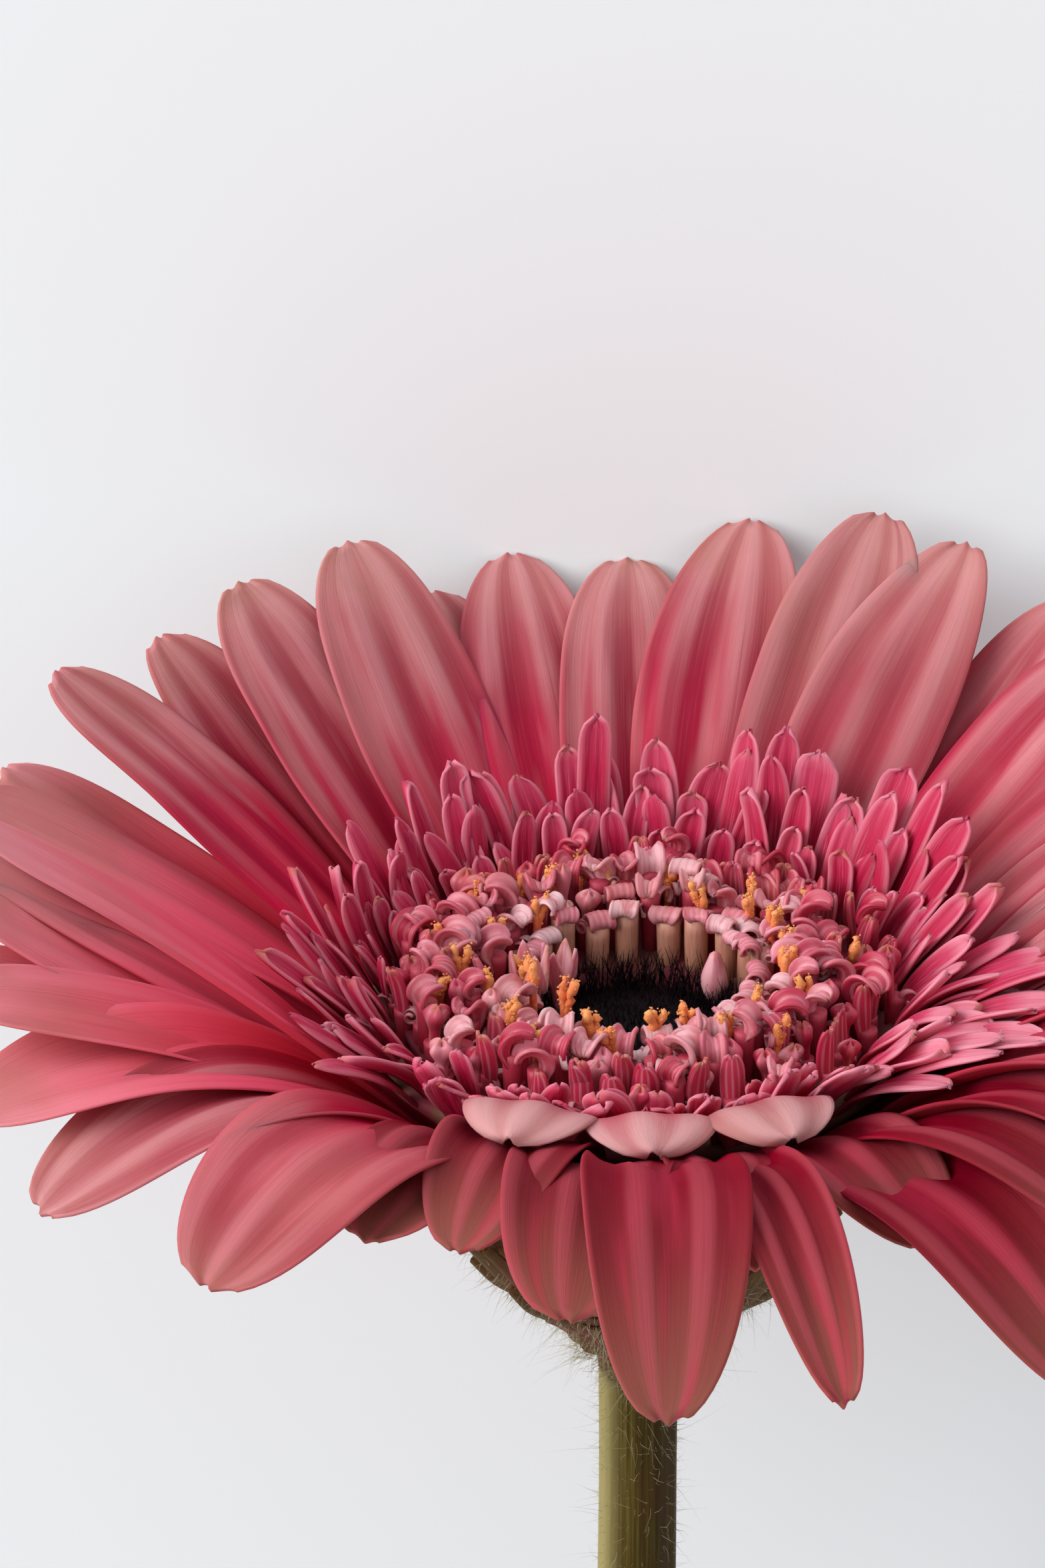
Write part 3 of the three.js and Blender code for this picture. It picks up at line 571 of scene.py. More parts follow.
def disc_floret(lips, tubes, curls, row, k):
    """A tube with its broad lip and up to two thin curled ones, or a floret that is still shut."""
    size = DISC_ROWS[row]
    ident = 500 + row * 50 + k
    azimuth = (k + row / 2 + around(ident, 1, 0.2)) * 360 / size["count"]
    a = math.radians(azimuth)
    radius = size["radius"] + around(ident, 6, 0.35 + 0.15 * row)
    foot = polar(radius, a, DISC_ROOT_HEIGHT)
    top = size["tip"] + size["rake"] * math.sin(a) + around(ident, 2, 0.8) - DISC_ROOT_HEIGHT
    spin = azimuth + around(ident, 13, 10 + 14 * row)
    if row > 1 and draw(ident, 14) > 0.6:
        spin += 180
    kind = draw(ident, 12)
    outward = row / (len(DISC_ROWS) - 1)
    tone, flush_and_painted_light = draw(ident, 9), np.clip(outward * mix(0.3, 1.2, draw(ident, 11)), 0, 1)
    if kind < size["rolled"]:
        stand = rolled_lip(lips, ident, spin, foot, top, tone, flush_and_painted_light)
    elif kind < size["rolled"] + size["hooded"]:
        stand = hooded_lip(lips, ident, spin, foot, top, tone, flush_and_painted_light)
    elif kind < size["rolled"] + size["hooded"] + size["shut"]:
        stand = shut_floret(lips, ident, azimuth, foot, top, tone, flush_and_painted_light)
    else:
        stand = erect_lip(lips, ident, azimuth, foot, top, tone, flush_and_painted_light)

    sunk = 5.2 if row == 0 else 1.0
    share = np.linspace(0, 1, 10)
    height = mix(-sunk, stand, share)
    lean_out = around(ident, 3, 0.06) * np.maximum(height, 0)
    centres = foot + polar(lean_out, a, height)
    depth = mix(0.3 * tone, 0.6 + 0.4 * tone, min(1, row))
    flare = mix(0.78, 1.0, smooth(0, 1, share)) * (1.22 if row == 0 else 1)
    add_tube(tubes, to_part(centres), TUBE_RADIUS * flare, depth, sides=14)
    for hand in (-1, 1):
        if draw(ident, 30 + hand) < 0.75 - 0.5 * outward:
            thin_curl(curls, ident, spin, foot, stand, hand, tone)


def rolled_lip(lips, ident, spin, foot, top, tone, flush_and_painted_light):
    """A strap that stands up and rolls over into a scroll. Returns how high the tube under it stands."""
    turn = mix(230, 400, draw(ident, 4))
    radius = 0.72 * (1 + around(ident, 5, 0.2))
    stand = top - radius
    length = stand + radius * math.radians(turn) * 0.8
    begins = stand / length

    def lean(u):
        share = np.clip((u - begins) / (1 - begins), 0, 1)
        return 91 + around(ident, 3, 6) + turn * (share + 0.6 * share**2) / 1.6

    line = leaning(0, 0, length, lean, steps=120)
    u, v = grid_of(46, 13, 0.2)
    u = mix(begins * 0.55, 1, u)
    rolled = (u - begins) / (1 - begins)
    narrowing = (0.7 + 0.3 * smooth(-0.4, 0.3, rolled)) * (1 - 0.45 * smooth(0.6, 1, rolled))
    width = 1.02 * (1 + around(ident, 7, 0.15)) * narrowing
    hollow = (0.5 - 0.75 * smooth(-0.1, 0.5, rolled)) * (1 - v**2)
    skew = around(ident, 8, 0.5) * smooth(0, 1, rolled)
    points = surface(line, spin, u, v, width, 0.03 * np.cos(5 * np.pi * v) - hollow, 0, skew, foot)
    add_sheet(lips, points, rolled, v, tone, LIP_THICKNESS, flush_and_painted_light)
    return stand * 0.96


def hooded_lip(lips, ident, spin, foot, top, tone, flush_and_painted_light):
    """A broader lip, domed across and round at its end, bent over like a hood."""
    turn = mix(100, 190, draw(ident, 4))
    radius = mix(0.55, 0.88, draw(ident, 5))
    stand = top - radius * 0.9
    length = stand + radius * math.radians(turn)
    begins = stand / length

    def lean(u):
        return 88 + turn * np.clip((u - begins) / (1 - begins), 0, 1) ** 1.1

    line = leaning(0, 0, length, lean, steps=90)
    u, v = grid_of(34, 17, 0.3)
    u = mix(begins * 0.45, 1, u)
    bent = (u - begins) / (1 - begins)
    width = mix(0.85, 1.15, draw(ident, 7)) * (0.62 + 0.38 * smooth(-0.8, 0.1, bent))
    width = width * closing(bent, 0.4, 1.01, 2.4)
    ribs = 0.05 * np.cos(3.5 * np.pi * v + 3 * tone) * smooth(-0.6, 0.3, bent)
    dome = -0.85 * v**2 * width * smooth(-1.2, 0.2, bent)
    lobes = 0.14 * np.cos(3 * np.pi * v + 2 * tone) * smooth(0.75, 1, bent)
    skew = around(ident, 8, 0.4) * smooth(0, 1, bent)
    points = surface(line, spin, u - 0.06 * lobes, v, width, ribs + dome, 0, skew, foot)
    add_sheet(lips, points, bent, v, tone, LIP_THICKNESS * 1.2, flush_and_painted_light)
    return stand * 0.95


def shut_floret(lips, ident, azimuth, foot, top, tone, flush_and_painted_light):
    """A floret that is hardly open: lobes that meet in a blunt knob with as many little ears."""
    a = math.radians(azimuth)
    height = top * mix(0.8, 1.12, draw(ident, 4))
    size = mix(0.68, 0.98, draw(ident, 5))
    share = np.linspace(0, 1, 26)[:, None]
    turns = round_turns(32)
    swell = 0.45 + 0.5 * np.sin(np.pi * smooth(0.4, 1.15, share))
    blunt = np.sqrt(1 - 0.97 * np.clip((share - 0.78) / 0.22, 0, 1) ** 2.2)
    ears = np.cos((3 + (draw(ident, 6) > 0.5)) * turns + 6 * tone)
    lobes = 1 + (0.1 + 0.16 * share) * smooth(0.45, 0.85, share) * ears
    lean = around(ident, 8, 0.9) * share**2
    pinch = 0.35 * smooth(0.8, 1, share) * (ears - 1) * np.sin(np.pi * smooth(0.8, 1.3, share))
    walls = foot + polar(size * swell * blunt * lobes, turns, mix(0.3, 1, share) * height + pinch)
    walls = to_part(walls + polar(lean, a + 2 * tone, 0))
    add_rings(lips, walls, walls[[0, -1]].mean(1), share[:, 0], tone, flush_and_painted_light, wrap=0.75)
    return height * 0.45


def erect_lip(lips, ident, azimuth, foot, top, tone, flush_and_painted_light):
    """A lip that stands up like a small petal, with three little teeth."""
    length = top * mix(0.9, 1.15, draw(ident, 4))
    lean_out = mix(66, 96, draw(ident, 5))
    line = leaning(0, 0, length, lambda u: mix(86, lean_out, u) + around(ident, 3, 6))
    u, v = grid_of(24, 13, 0.3)
    u = mix(0.35, 1, u)
    width = mix(0.75, 1.0, draw(ident, 7)) * (0.7 + 0.3 * smooth(0.3, 0.6, u)) * closing(u, 0.66, 1.01, 2.6)
    teeth = 0.045 * np.cos(3 * np.pi * v) * u**8
    points = surface(line, azimuth, u - teeth, v, width, 0.55 * v**2 * width, around(ident, 8, 35), 0.0, foot)
    add_sheet(lips, points, u, v, tone, LIP_THICKNESS * 1.2, mix(flush_and_painted_light, 1, 0.4))
    return top * 0.5


def thin_curl(curls, ident, spin, foot, stand, hand, tone):
    """One of the two narrow inner lips, rolled up like a watch spring on the other side of the tube."""
    turn = mix(220, 520, draw(ident, 20 + hand))
    radius = 0.5 * (1 + around(ident, 22 + hand, 0.3))
    length = 1.1 + radius * math.radians(turn) * 0.62

    def lean(u):
        return 84 - turn * (smooth(0, 0.25, u) * u + u**1.6) / 2

    line = leaning(0.3, stand * 0.9, length, lean, steps=90)
    u, v = grid_of(36, 5, 0.2)
    tilt = hand * (0.4 + 0.7 * draw(ident, 24 + hand))
    fan = spin + hand * mix(5, 40, draw(ident, 26 + hand))
    points = surface(line, fan, u, v, 0.3 * (1 - 0.45 * u), 0.0, 0, hand * 0.3 + tilt * u, foot)
    add_sheet(curls, points, u, v, tone, CURL_THICKNESS)


# Azimuth and radius of the anther tubes that stand clear of the lips, and their height over the disc.
ANTHERS = [
    (160, 11.0, 2.0), (140, 9.6, 2.3), (62, 10.2, 1.8), (42, 10.8, 2.0), (26, 10.6, 2.3), (12, 10.9, 2.2),
    (214, 8.8, 3.0), (232, 8.4, 2.8), (252, 10.2, 1.9), (276, 10.0, 1.8), (291, 9.9, 1.9), (318, 10.8, 1.8),
    (348, 10.6, 2.4), (118, 12.6, 1.9), (98, 12.2, 1.8), (80, 12.4, 1.8), (356, 12.4, 2.2), (2, 15.0, 1.9),
    (150, 13.4, 2.0), (168, 14.4, 1.9), (186, 12.6, 2.1), (196, 14.8, 1.8), (204, 11.4, 2.1),
    (224, 12.4, 1.9), (240, 14.0, 1.7), (262, 12.4, 1.7), (300, 12.8, 1.8), (310, 14.8, 1.7),
    (334, 13.0, 2.0), (34, 14.2, 2.0), (52, 13.6, 1.8), (106, 14.8, 1.7), (128, 14.4, 1.8),
    (142, 15.6, 1.7), (186, 7.9, 1.3),
]


def anther(builder, k):
    """A tube of fused anthers: smooth below, crusted with pollen and split into two or three at its tip."""
    azimuth, radius, height = ANTHERS[k]
    ident = 700 + k
    a = math.radians(azimuth)
    rough = np.random.default_rng(ident)
    tone = draw(ident, 9)
    top = height * mix(0.6, 1.0, draw(ident, 5)) + 0.5
    split = mix(0.5, 0.8, draw(ident, 6))
    bend, slant = around(ident, 1, 0.5), around(ident, 2, 0.6)
    prongs = 2 + (draw(ident, 7) > 0.5)
    for prong in range(prongs):
        turn = 2 * np.pi * prong / prongs + 6 * tone
        share = np.linspace(0, 1, 18)
        flare = mix(0.15, 0.55, draw(ident, 10 + prong)) * smooth(split - 0.2, 1, share) + 0.08
        reach = mix(DISC_ROOT_HEIGHT + 2, top - 0.7 * draw(ident, 20 + prong), share)
        r = radius + 0.2 + bend * share**2 + flare * math.cos(turn)
        side = slant * share**2 + flare * math.sin(turn)
        centres = polar(r, a, reach) + polar(side, a + math.pi / 2, 0)
        crust = smooth(0.5, 0.75, share)
        centres = centres + rough.normal(0, 0.06, centres.shape) * crust[:, None]
        radii = 0.24 + 0.08 * crust - 0.12 * smooth(0.9, 1, share)
        radii = radii * (1 + rough.normal(0, 0.18, len(share)) * crust)
        add_tube(builder, to_part(centres), radii, tone, sides=8)
        grains(builder, centres[share > 0.55], rough, tone)


def grains(builder, centres, rough, tone):
    """Grains of pollen on the upper part of an anther tube: small eight-sided beads."""
    corners = np.array([[1, 0, 0], [0, 1, 0], [-1, 0, 0], [0, -1, 0], [0, 0, 1], [0, 0, -1]], float)
    faces = [(0, 1, 4), (1, 2, 4), (2, 3, 4), (3, 0, 4), (1, 0, 5), (2, 1, 5), (3, 2, 5), (0, 3, 5)]
    for _ in range(44):
        centre = centres[rough.integers(len(centres))] + unit(rough.normal(size=3)) * 0.3 * [1, 1, 0.7]
        bead = to_part(centre + corners * rough.uniform(0.06, 0.12))
        builder.add(bead, np.tile([1.0, 0.0, tone], (6, 1)), triangles=faces)


# Upright corollas that stand at the rim of the eye: azimuth, radius, height of the rim, width.
UPRIGHT = [(186, 7.9, 1.7, 1.2), (166, 5.9, 0.7, 1.1)]
BUD = (36, 6.9, -1.2)  # azimuth, radius, height of its top


def upright_corolla(builder, k):
    """A half-open disc floret: a tube that widens into a cup with four long teeth."""
    azimuth, radius, top, wide = UPRIGHT[k]
    foot = polar(radius, math.radians(azimuth), 0)
    u, v = grid_of(26, 15)
    for part in range(4):
        turn = np.radians(90 * part + 20 + 50 * k) + v * np.radians(47)
        opened = 0.3 + 0.35 * smooth(0.2, 0.8, u) + 0.5 * u**3
        tooth = 1 - 0.4 * np.abs(v) ** 1.3 * smooth(0.4, 1, u)
        points = foot + polar(wide * opened, turn, mix(EYE_RIM - 1, top, u * tooth))
        add_sheet(builder, to_part(points), u, v, draw(900 + k, part), LIP_THICKNESS)


def bud(builder):
    """A large disc floret that is still shut, round like a small melon."""
    azimuth, radius, top = BUD
    share = np.linspace(0, 1, 24)
    swell = 0.32 + 0.72 * np.sin(np.pi * smooth(0.1, 1.05, share)) ** 0.8
    centres = polar(radius, math.radians(azimuth), mix(EYE_RIM - 1.5, top, share))
    add_tube(builder, to_part(centres), swell * (1 - smooth(0.96, 1, share) * 0.6), 0.5, sides=16)


def eye_bristles(builder):
    """Stiff dark bristles all over the eye, tallest at its rim, where they stand up along the tubes."""
    rough = np.random.default_rng(5)
    count = 2600
    radius = (EYE_RADIUS + 0.75) * np.sqrt(rough.random(count))
    turn = rough.random(count) * 2 * np.pi
    rim = smooth(0.6, 1, radius / EYE_RADIUS)
    foot = mix(EYE_CROWN, EYE_RIM, np.clip(radius / EYE_RADIUS, 0, 1)) - 0.3
    roots = polar(radius, turn, foot)
    directions = unit(np.column_stack([rough.normal(0, 0.22, (count, 2)), np.ones(count)]))
    bends = rough.normal(0, 0.12, (count, 3))
    lengths = mix(1.0, 2.6, rim) * rough.uniform(0.6, 1.15, count)
    radii = rough.uniform(0.05, 0.09, count)
    add_strands(builder, to_part(roots), directions @ HEAD_AXES, bends, lengths, radii)


# ---------------------------------------------------------------- green parts
def cup_line():
    """The receptacle's outside as a smooth line: shares, points of radius and height, and its length."""
    shares, fine, length = evenly(np.array(CUP, float), 60)
    for _ in range(6):
        fine[1:-1] = (fine[:-2] + 2 * fine[1:-1] + fine[2:]) / 4
    return shares, fine, length


# Rows of bracts from the rays down: where they start on the cup, and how far they stand off it.
BRACT_ROWS = [
    dict(count=19, start=0.42, length=14.2, half_width=1.45, stand=0.75),
    dict(count=17, start=0.26, length=11.6, half_width=1.35, stand=1.35),
    dict(count=13, start=0.12, length=8.6, half_width=1.1, stand=1.5),
]
BRACT_THICKNESS = 0.4


def bract(builder, row, k):
    """A narrow scale that follows the outside of the cup and bends away from it under the rays."""
    size = BRACT_ROWS[row]
    ident = 800 + row * 40 + k
    shares, fine, total = cup_line()
    slopes = np.degrees(np.unwrap(np.arctan2(*np.gradient(fine, axis=0).T[::-1])))
    start = size["start"] + around(ident, 5, 0.03)
    foot = [np.interp(start, shares, fine[:, i]) for i in (0, 1)]
    length = size["length"] * (1 + around(ident, 2, 0.08))

    def lean(u):
        share = start + u * length / total
        slope = np.interp(np.minimum(share, 0.86), shares, slopes)
        return mix(slope, 54, smooth(0.76, 0.86, share))

    line = leaning(foot[0], foot[1], length, lean)
    u, v = grid_of(24, 9)
    outline = 0.75 + 0.25 * smooth(0, 0.3, u) - 0.86 * u**2.4
    rise = mix(-0.2, size["stand"], smooth(0, 0.25, u)) - 0.35 * v**2 + 0.1 * np.cos(np.pi * v)
    azimuth = (k + row / 2 + around(ident, 1, 0.2)) * 360 / size["count"]
    sway = around(ident, 7, 0.8) * u**2
    points = surface(line, azimuth, u, v, size["half_width"] * outline, -rise, 0, sway)
    add_sheet(builder, points, u, v, draw(ident, 9), BRACT_THICKNESS * (1 - 0.4 * v**2))


def stem_frames(count):
    """Shares, centres, tangents, square vectors aside and up, and radii along the stem from neck to foot."""
    axis = HEAD_AXES[2]
    neck = to_part([0, 0, CUP[0][1] - 0.3])
    foot = np.array([neck[0] - STEM_LENGTH, neck[1] + STEM_SWAY * 0.4, FOOT_RADIUS - FOOT_BITE])
    reach = STEM_LENGTH / 3
    controls = [neck, neck - axis * reach, foot + np.array([reach, STEM_SWAY, reach * 0.1]), foot]
    shares, centres, _ = evenly(bezier(controls, 2001), count)
    tangents = unit(np.gradient(centres, axis=0))
    aside = unit(np.cross(tangents, [0, 0, 1]))
    up = np.cross(aside, tangents)
    radii = mix(NECK_RADIUS, FOOT_RADIUS, smooth(0, 1, shares))
    return shares, centres, tangents, aside, up, radii


# The rings of the cut face: radius as a share of the rim's, how far they are sunk, and share along the stem.
CUT_RINGS = [(0.93, 0.05, 1.02), (0.84, 0.35, 1.05), (0.62, 0.5, 1.08), (0.3, 0.55, 1.12)]
CUT_INSET = 0.25  # how far the rim of the cut keeps back from the end of the solid
SKIN_INSET = 0.08  # how far the skin lies inside the solid between its ribs


def stem_skin(builder):
    """The stem with its low ribs and swellings, cut at a slant and hollowed a little at the cut."""
    rows, sides = 240, 56
    shares, centres, tangents, aside, up, radii = stem_frames(rows)
    turns = round_turns(sides)
    ribs = 0.05 * np.cos(9 * turns) + 0.03 * np.cos(23 * turns + 1)
    swell = 0.05 * np.sin(shares * 37)[:, None] + 0.03 * np.sin(shares * 91 + 2)[:, None]
    reach = radii[:, None] - SKIN_INSET + ribs + swell
    walls = centres[:, None] + rings_of(aside, up, sides) * reach[..., None]
    walls[-1] -= tangents[-1] * (CUT_SLANT * reach[-1] * np.sin(turns) + CUT_INSET)[:, None]
    rim = walls[-1] - centres[-1]
    cut = [centres[-1] + rim * share - tangents[-1] * sunk for share, sunk, _ in CUT_RINGS]
    ends = centres[[0, -1]] - tangents[[-1]] * [[0], [CUT_RINGS[-1][1]]]
    along = np.concatenate([shares, [ring[2] for ring in CUT_RINGS], [0, 1.2]])
    add_rings(builder, np.concatenate([walls, cut]), ends, along, 0, mirrored=True)


# Hairs: how many there are, how far they lean and bend, the scale of their lengths, and their radius.
STEM_HAIRS = dict(seed=7, count=4600, lean=0.35, bend=0.35, length=0.32, radius=0.015)
CUP_HAIRS = dict(seed=8, count=5000, lean=0.45, bend=0.4, length=0.36, radius=0.022)
HAIR_LENGTHS = (0.3, 3.0)  # the shortest and the longest


def add_hairs(builder, size, rough, roots, directions):
    count = size["count"]
    bends = rough.normal(0, size["bend"], (count, 3))
    lengths = rough.gamma(3.0, size["length"], count).clip(*HAIR_LENGTHS)
    add_strands(builder, roots, directions, bends, lengths, np.full(count, size["radius"]))


def stem_hairs(builder):
    """Hairs all round the stem, closer together towards the head."""
    count, rough = STEM_HAIRS["count"], np.random.default_rng(STEM_HAIRS["seed"])
    shares, centres, tangents, aside, up, radii = stem_frames(600)
    where = ((len(shares) - 1) * rough.random(count) ** 1.6).astype(int)
    turn = rough.random(count) * 2 * np.pi
    out = aside[where] * np.cos(turn)[:, None] + up[where] * np.sin(turn)[:, None]
    roots = centres[where] + out * (radii[where] - 0.12)[:, None]
    lean = rough.normal(0, STEM_HAIRS["lean"], (count, 3))
    directions = unit(out + lean + tangents[where] * rough.normal(0, 0.3, (count, 1)))
    add_hairs(builder, STEM_HAIRS, rough, roots, directions)


def involucre_hairs(builder):
    """Hairs all over the cup and its bracts, rooted at the heights that the bracts lie at."""
    count, rough = CUP_HAIRS["count"], np.random.default_rng(CUP_HAIRS["seed"])
    _, fine, _ = cup_line()
    where = rough.integers(2, len(fine) - 1, count)
    turn = rough.random(count) * 2 * np.pi
    slope = unit(np.gradient(fine, axis=0)[where])
    out = np.stack([slope[:, 1], -slope[:, 0]], -1)
    level = fine[where] + out * rough.uniform(0.2, 1.5, (count, 1))
    roots = polar(level[:, 0], turn, level[:, 1])
    lean = rough.normal(0, CUP_HAIRS["lean"], (count, 3))
    directions = unit(polar(out[:, 0], turn, out[:, 1]) + lean)
    add_hairs(builder, CUP_HAIRS, rough, to_part(roots), directions @ HEAD_AXES)


# ---------------------------------------------------------------- materials
def linear(shade):
    """A colour as it looks on a screen, from 0 to 255, in Blender's linear numbers."""
    shares = [c / 255 for c in shade]
    return (*(c / 12.92 if c <= 0.04045 else ((c + 0.055) / 1.055) ** 2.4 for c in shares), 1.0)


class Signal:
    """A number that varies over a surface. Arithmetic with it adds nodes to its material."""

    def __init__(self, look, socket):
        self.look, self.socket = look, socket

    def __add__(self, other):
        return self.look.math("ADD", self, other)

    def __sub__(self, other):
        return self.look.math("SUBTRACT", self, other)

    def __mul__(self, other):
        return self.look.math("MULTIPLY", self, other)

    def __abs__(self):
        return self.look.math("ABSOLUTE", self)

    def cosine(self):
        return self.look.math("COSINE", self)

    def clamped(self):
        return self.look.math("ADD", self, 0.0, clamp=True)

    def within(self, start, end, low=0.0, high=1.0):
        """A smooth step from low to high, as the number goes from start to end."""
        node = self.look.node("MapRange", self, start, end, low, high, interpolation_type="SMOOTHSTEP")
        return Signal(self.look, node.outputs[0])


class Look:
    """A material under construction: its shader, its colour so far, and short names for the nodes it needs.

    Colours are given as red, green and blue on a screen.
    """

    def __init__(self, name, roughness, **settings):
        self.material = bpy.data.materials.new(name)
        self.material.use_nodes = True
        self.tree = self.material.node_tree
        self.shader = self.tree.nodes["Principled BSDF"]
        self.shader.inputs["Roughness"].default_value = roughness
        for socket, value in settings.items():
            self.shader.inputs[socket.replace("_", " ").title().replace("Ior", "IOR")].default_value = value
        self.body = None

    def put(self, socket, value):
        """Joins what a signal or another socket gives to a socket, or sets it to a number or a colour."""
        if isinstance(value, Signal):
            value = value.socket
        if isinstance(value, bpy.types.NodeSocket):
            self.tree.links.new(value, socket)
        elif value is not None:
            socket.default_value = linear(value) if isinstance(value, tuple) else value

    def node(self, kind, *values, **settings):
        """A new node with settings of its own and values for its first sockets."""
        node = self.tree.nodes.new("ShaderNode" + kind)
        for name, value in settings.items():
            setattr(node, name, value)
        for socket, value in zip(node.inputs, values):
            self.put(socket, value)
        return node

    def math(self, operation, *values, clamp=False):
        return Signal(self, self.node("Math", *values, operation=operation, use_clamp=clamp).outputs[0])

    def attribute(self, name):
        return Signal(self, self.node("Attribute", attribute_name=name).outputs["Fac"])

    def place(self):
        """The shares along and across and the shell's own draw."""
        place = self.node("Attribute", attribute_name="place").outputs["Vector"]
        return [Signal(self, socket) for socket in self.node("SeparateXYZ", place).outputs]

    def vector(self, x, y, z):
        return self.node("CombineXYZ", x, y, z).outputs[0]

    def noise(self, vector, scale, detail=2.0, roughness=0.5):
        return Signal(self, self.node("TexNoise", vector, None, scale, detail, roughness).outputs["Fac"])

    def world_noise(self, scale, detail=2.0):
        return self.noise(self.node("TexCoord").outputs["Object"], scale, detail)

    def ramp(self, share, *stops):
        """A colour that changes with a share. Each stop is a share and its colour."""
        node = self.node("ValToRGB", share)
        points = node.color_ramp.elements
        while len(points) < len(stops):
            points.new(0.5)
        for point, (at, *shade) in zip(points, stops):
            point.position, point.color = at, linear(shade)
        return node.outputs[0]

    def blend(self, share, a, b):
        return self.node("Mix", share, *[None] * 5, a, b, data_type="RGBA").outputs[2]

    def tint(self, share, shade):
        """Takes the colour so far towards another by a share."""
        self.body = self.blend(share, self.body, shade)

    def bump(self, height, strength, distance):
        node = self.node("Bump", strength, distance * MM)
        self.put(node.inputs["Height"], height)
        self.put(self.shader.inputs["Normal"], node.outputs[0])

    def soften(self, weight, radius):
        """Lets light go a little way in and come out again."""
        for name, value in (("Weight", weight), ("Radius", radius), ("Scale", MM)):
            self.shader.inputs["Subsurface " + name].default_value = value

    def finished(self):
        self.put(self.shader.inputs["Base Color"], self.body)
        return self.material


def ray_look(name, pallor_and_highlight=0.0):
    """Hot pink at the root, dusty pink at the tip and fine veins, with painted highlights on the pleats'
    ridges and painted shade in their furrows.

    A high flush paints a petal a darker crimson as painted shade, and one below 0 vivid pink as a painted
    glow of light shining through it. A middling flush gives a painted highlight on the crest where a drooping
    petal bends over. Pallor bleaches its outer part, most on the pleats' ridges, where it is partly a painted
    highlight.
    """
    look = Look(name, 0.6, specular_ior_level=0.05)
    along, across, tone = look.place()
    flush_and_painted_light, drift = look.attribute("flush_and_painted_light"), look.world_noise(60, 3)
    share = (along + drift * 0.4 + tone * 0.24 - 0.32 - flush_and_painted_light * 0.14).clamped()
    look.body = look.ramp(share, (0, 140, 0, 30), (0.22, 210, 8, 60), (0.4, 202, 24, 68), (0.56, 182, 46, 74),
                          (0.76, 184, 94, 102), (1, 206, 148, 142))
    wave = (across * (2 * math.pi * PLEATS) + tone * (2 * math.pi)).cosine()
    fine = (across * 31 + tone * 20).cosine()
    # Painted highlight on the pleats' ridges, and then painted shade in their furrows, following the pleats
    # of the sheet
    painted_ridge_highlight = wave.within(-0.1, 1) * share.within(0.3, 0.75, 0.04, 0.42) * fine.within(-1, 0.6, 0.92, 1.04)
    look.tint(painted_ridge_highlight, (220, 158, 160))
    look.tint(wave.within(0.1, -1) * along.within(0.2, 1, 0.5, 0.3), (148, 10, 42))
    streaks = look.noise(look.vector(along * 1.6, across * 1.6, tone * 9), 1.4, 2)
    look.tint(streaks.within(0.5, 0.72, 0, 0.42) * along.within(0.25, 0.7, 0.15, 1), (222, 154, 154))
    look.tint(streaks.within(0.48, 0.28, 0, 0.4), (144, 16, 48))
    look.tint(tone.within(0.45, 0.8, 0, 0.28) * along.within(0.2, 0.6), (138, 62, 66))
    # Painted glow: vivid pink for a flush below 0, standing in for light shining through the petals
    painted_glow = look.ramp(along, (0, 180, 0, 44), (0.3, 228, 44, 80), (0.62, 234, 84, 110), (1, 220, 138, 146))
    look.tint(flush_and_painted_light.within(-0.05, -0.4, 0, 0.95), painted_glow)
    look.tint(drift.within(0.5, 0.68, 0, 0.4) * along.within(0.45, 0.95), (156, 98, 72))
    veins = look.noise(look.vector(along * 2.2, across * 16, tone), 2, 4, 0.65)
    look.tint(veins.within(0.48, 0.28, 0, 0.1), (218, 150, 152))

    # Painted shade: a darker crimson for a high flush on the drooping near side, with painted highlights on
    # its ridges
    painted_shade = look.ramp(along, (0, 96, 0, 20), (0.4, 136, 0, 30), (0.62, 120, 0, 26), (0.78, 126, 38, 44),
                     (1, 140, 82, 70))
    painted_shade = look.blend(wave.within(0.1, 1, 0, 0.4) * along.within(0.2, 0.75), painted_shade, (196, 84, 98))
    painted_shade = look.blend(streaks.within(0.5, 0.66, 0, 0.35), painted_shade, (190, 40, 72))
    look.tint(flush_and_painted_light.within(0.5, 0.84, 0, 0.97), painted_shade)
    # Painted highlight on the crest where a drooping petal bends over
    painted_crest_highlight = along.within(0.54, 0.66) * along.within(0.9, 0.78)
    look.tint(painted_crest_highlight * flush_and_painted_light.within(0.7, 0.6, 0, 0.6) * flush_and_painted_light.within(0.26, 0.4), (210, 118, 122))
    look.tint(veins.within(0.48, 0.72, 0, 0.18), (130, 12, 40))
    look.tint(look.attribute("under") * 0.22, (178, 82, 92))
    # The middle rays' own pale outer part, strongest on the pleats' ridges, where it is partly painted
    # highlight
    if pallor_and_highlight:
        pale_and_ridge_highlight = along.within(0.42, 0.95, 0.1, 1) * wave.within(-0.9, 0.9, 0.5, 1)
        look.tint(pale_and_ridge_highlight * pallor_and_highlight, (208, 152, 152))
    look.bump(fine * 0.08 + veins, 0.35, 0.18)
    look.soften(0.3, (1, 0.18, 0.22))
    return look.finished()


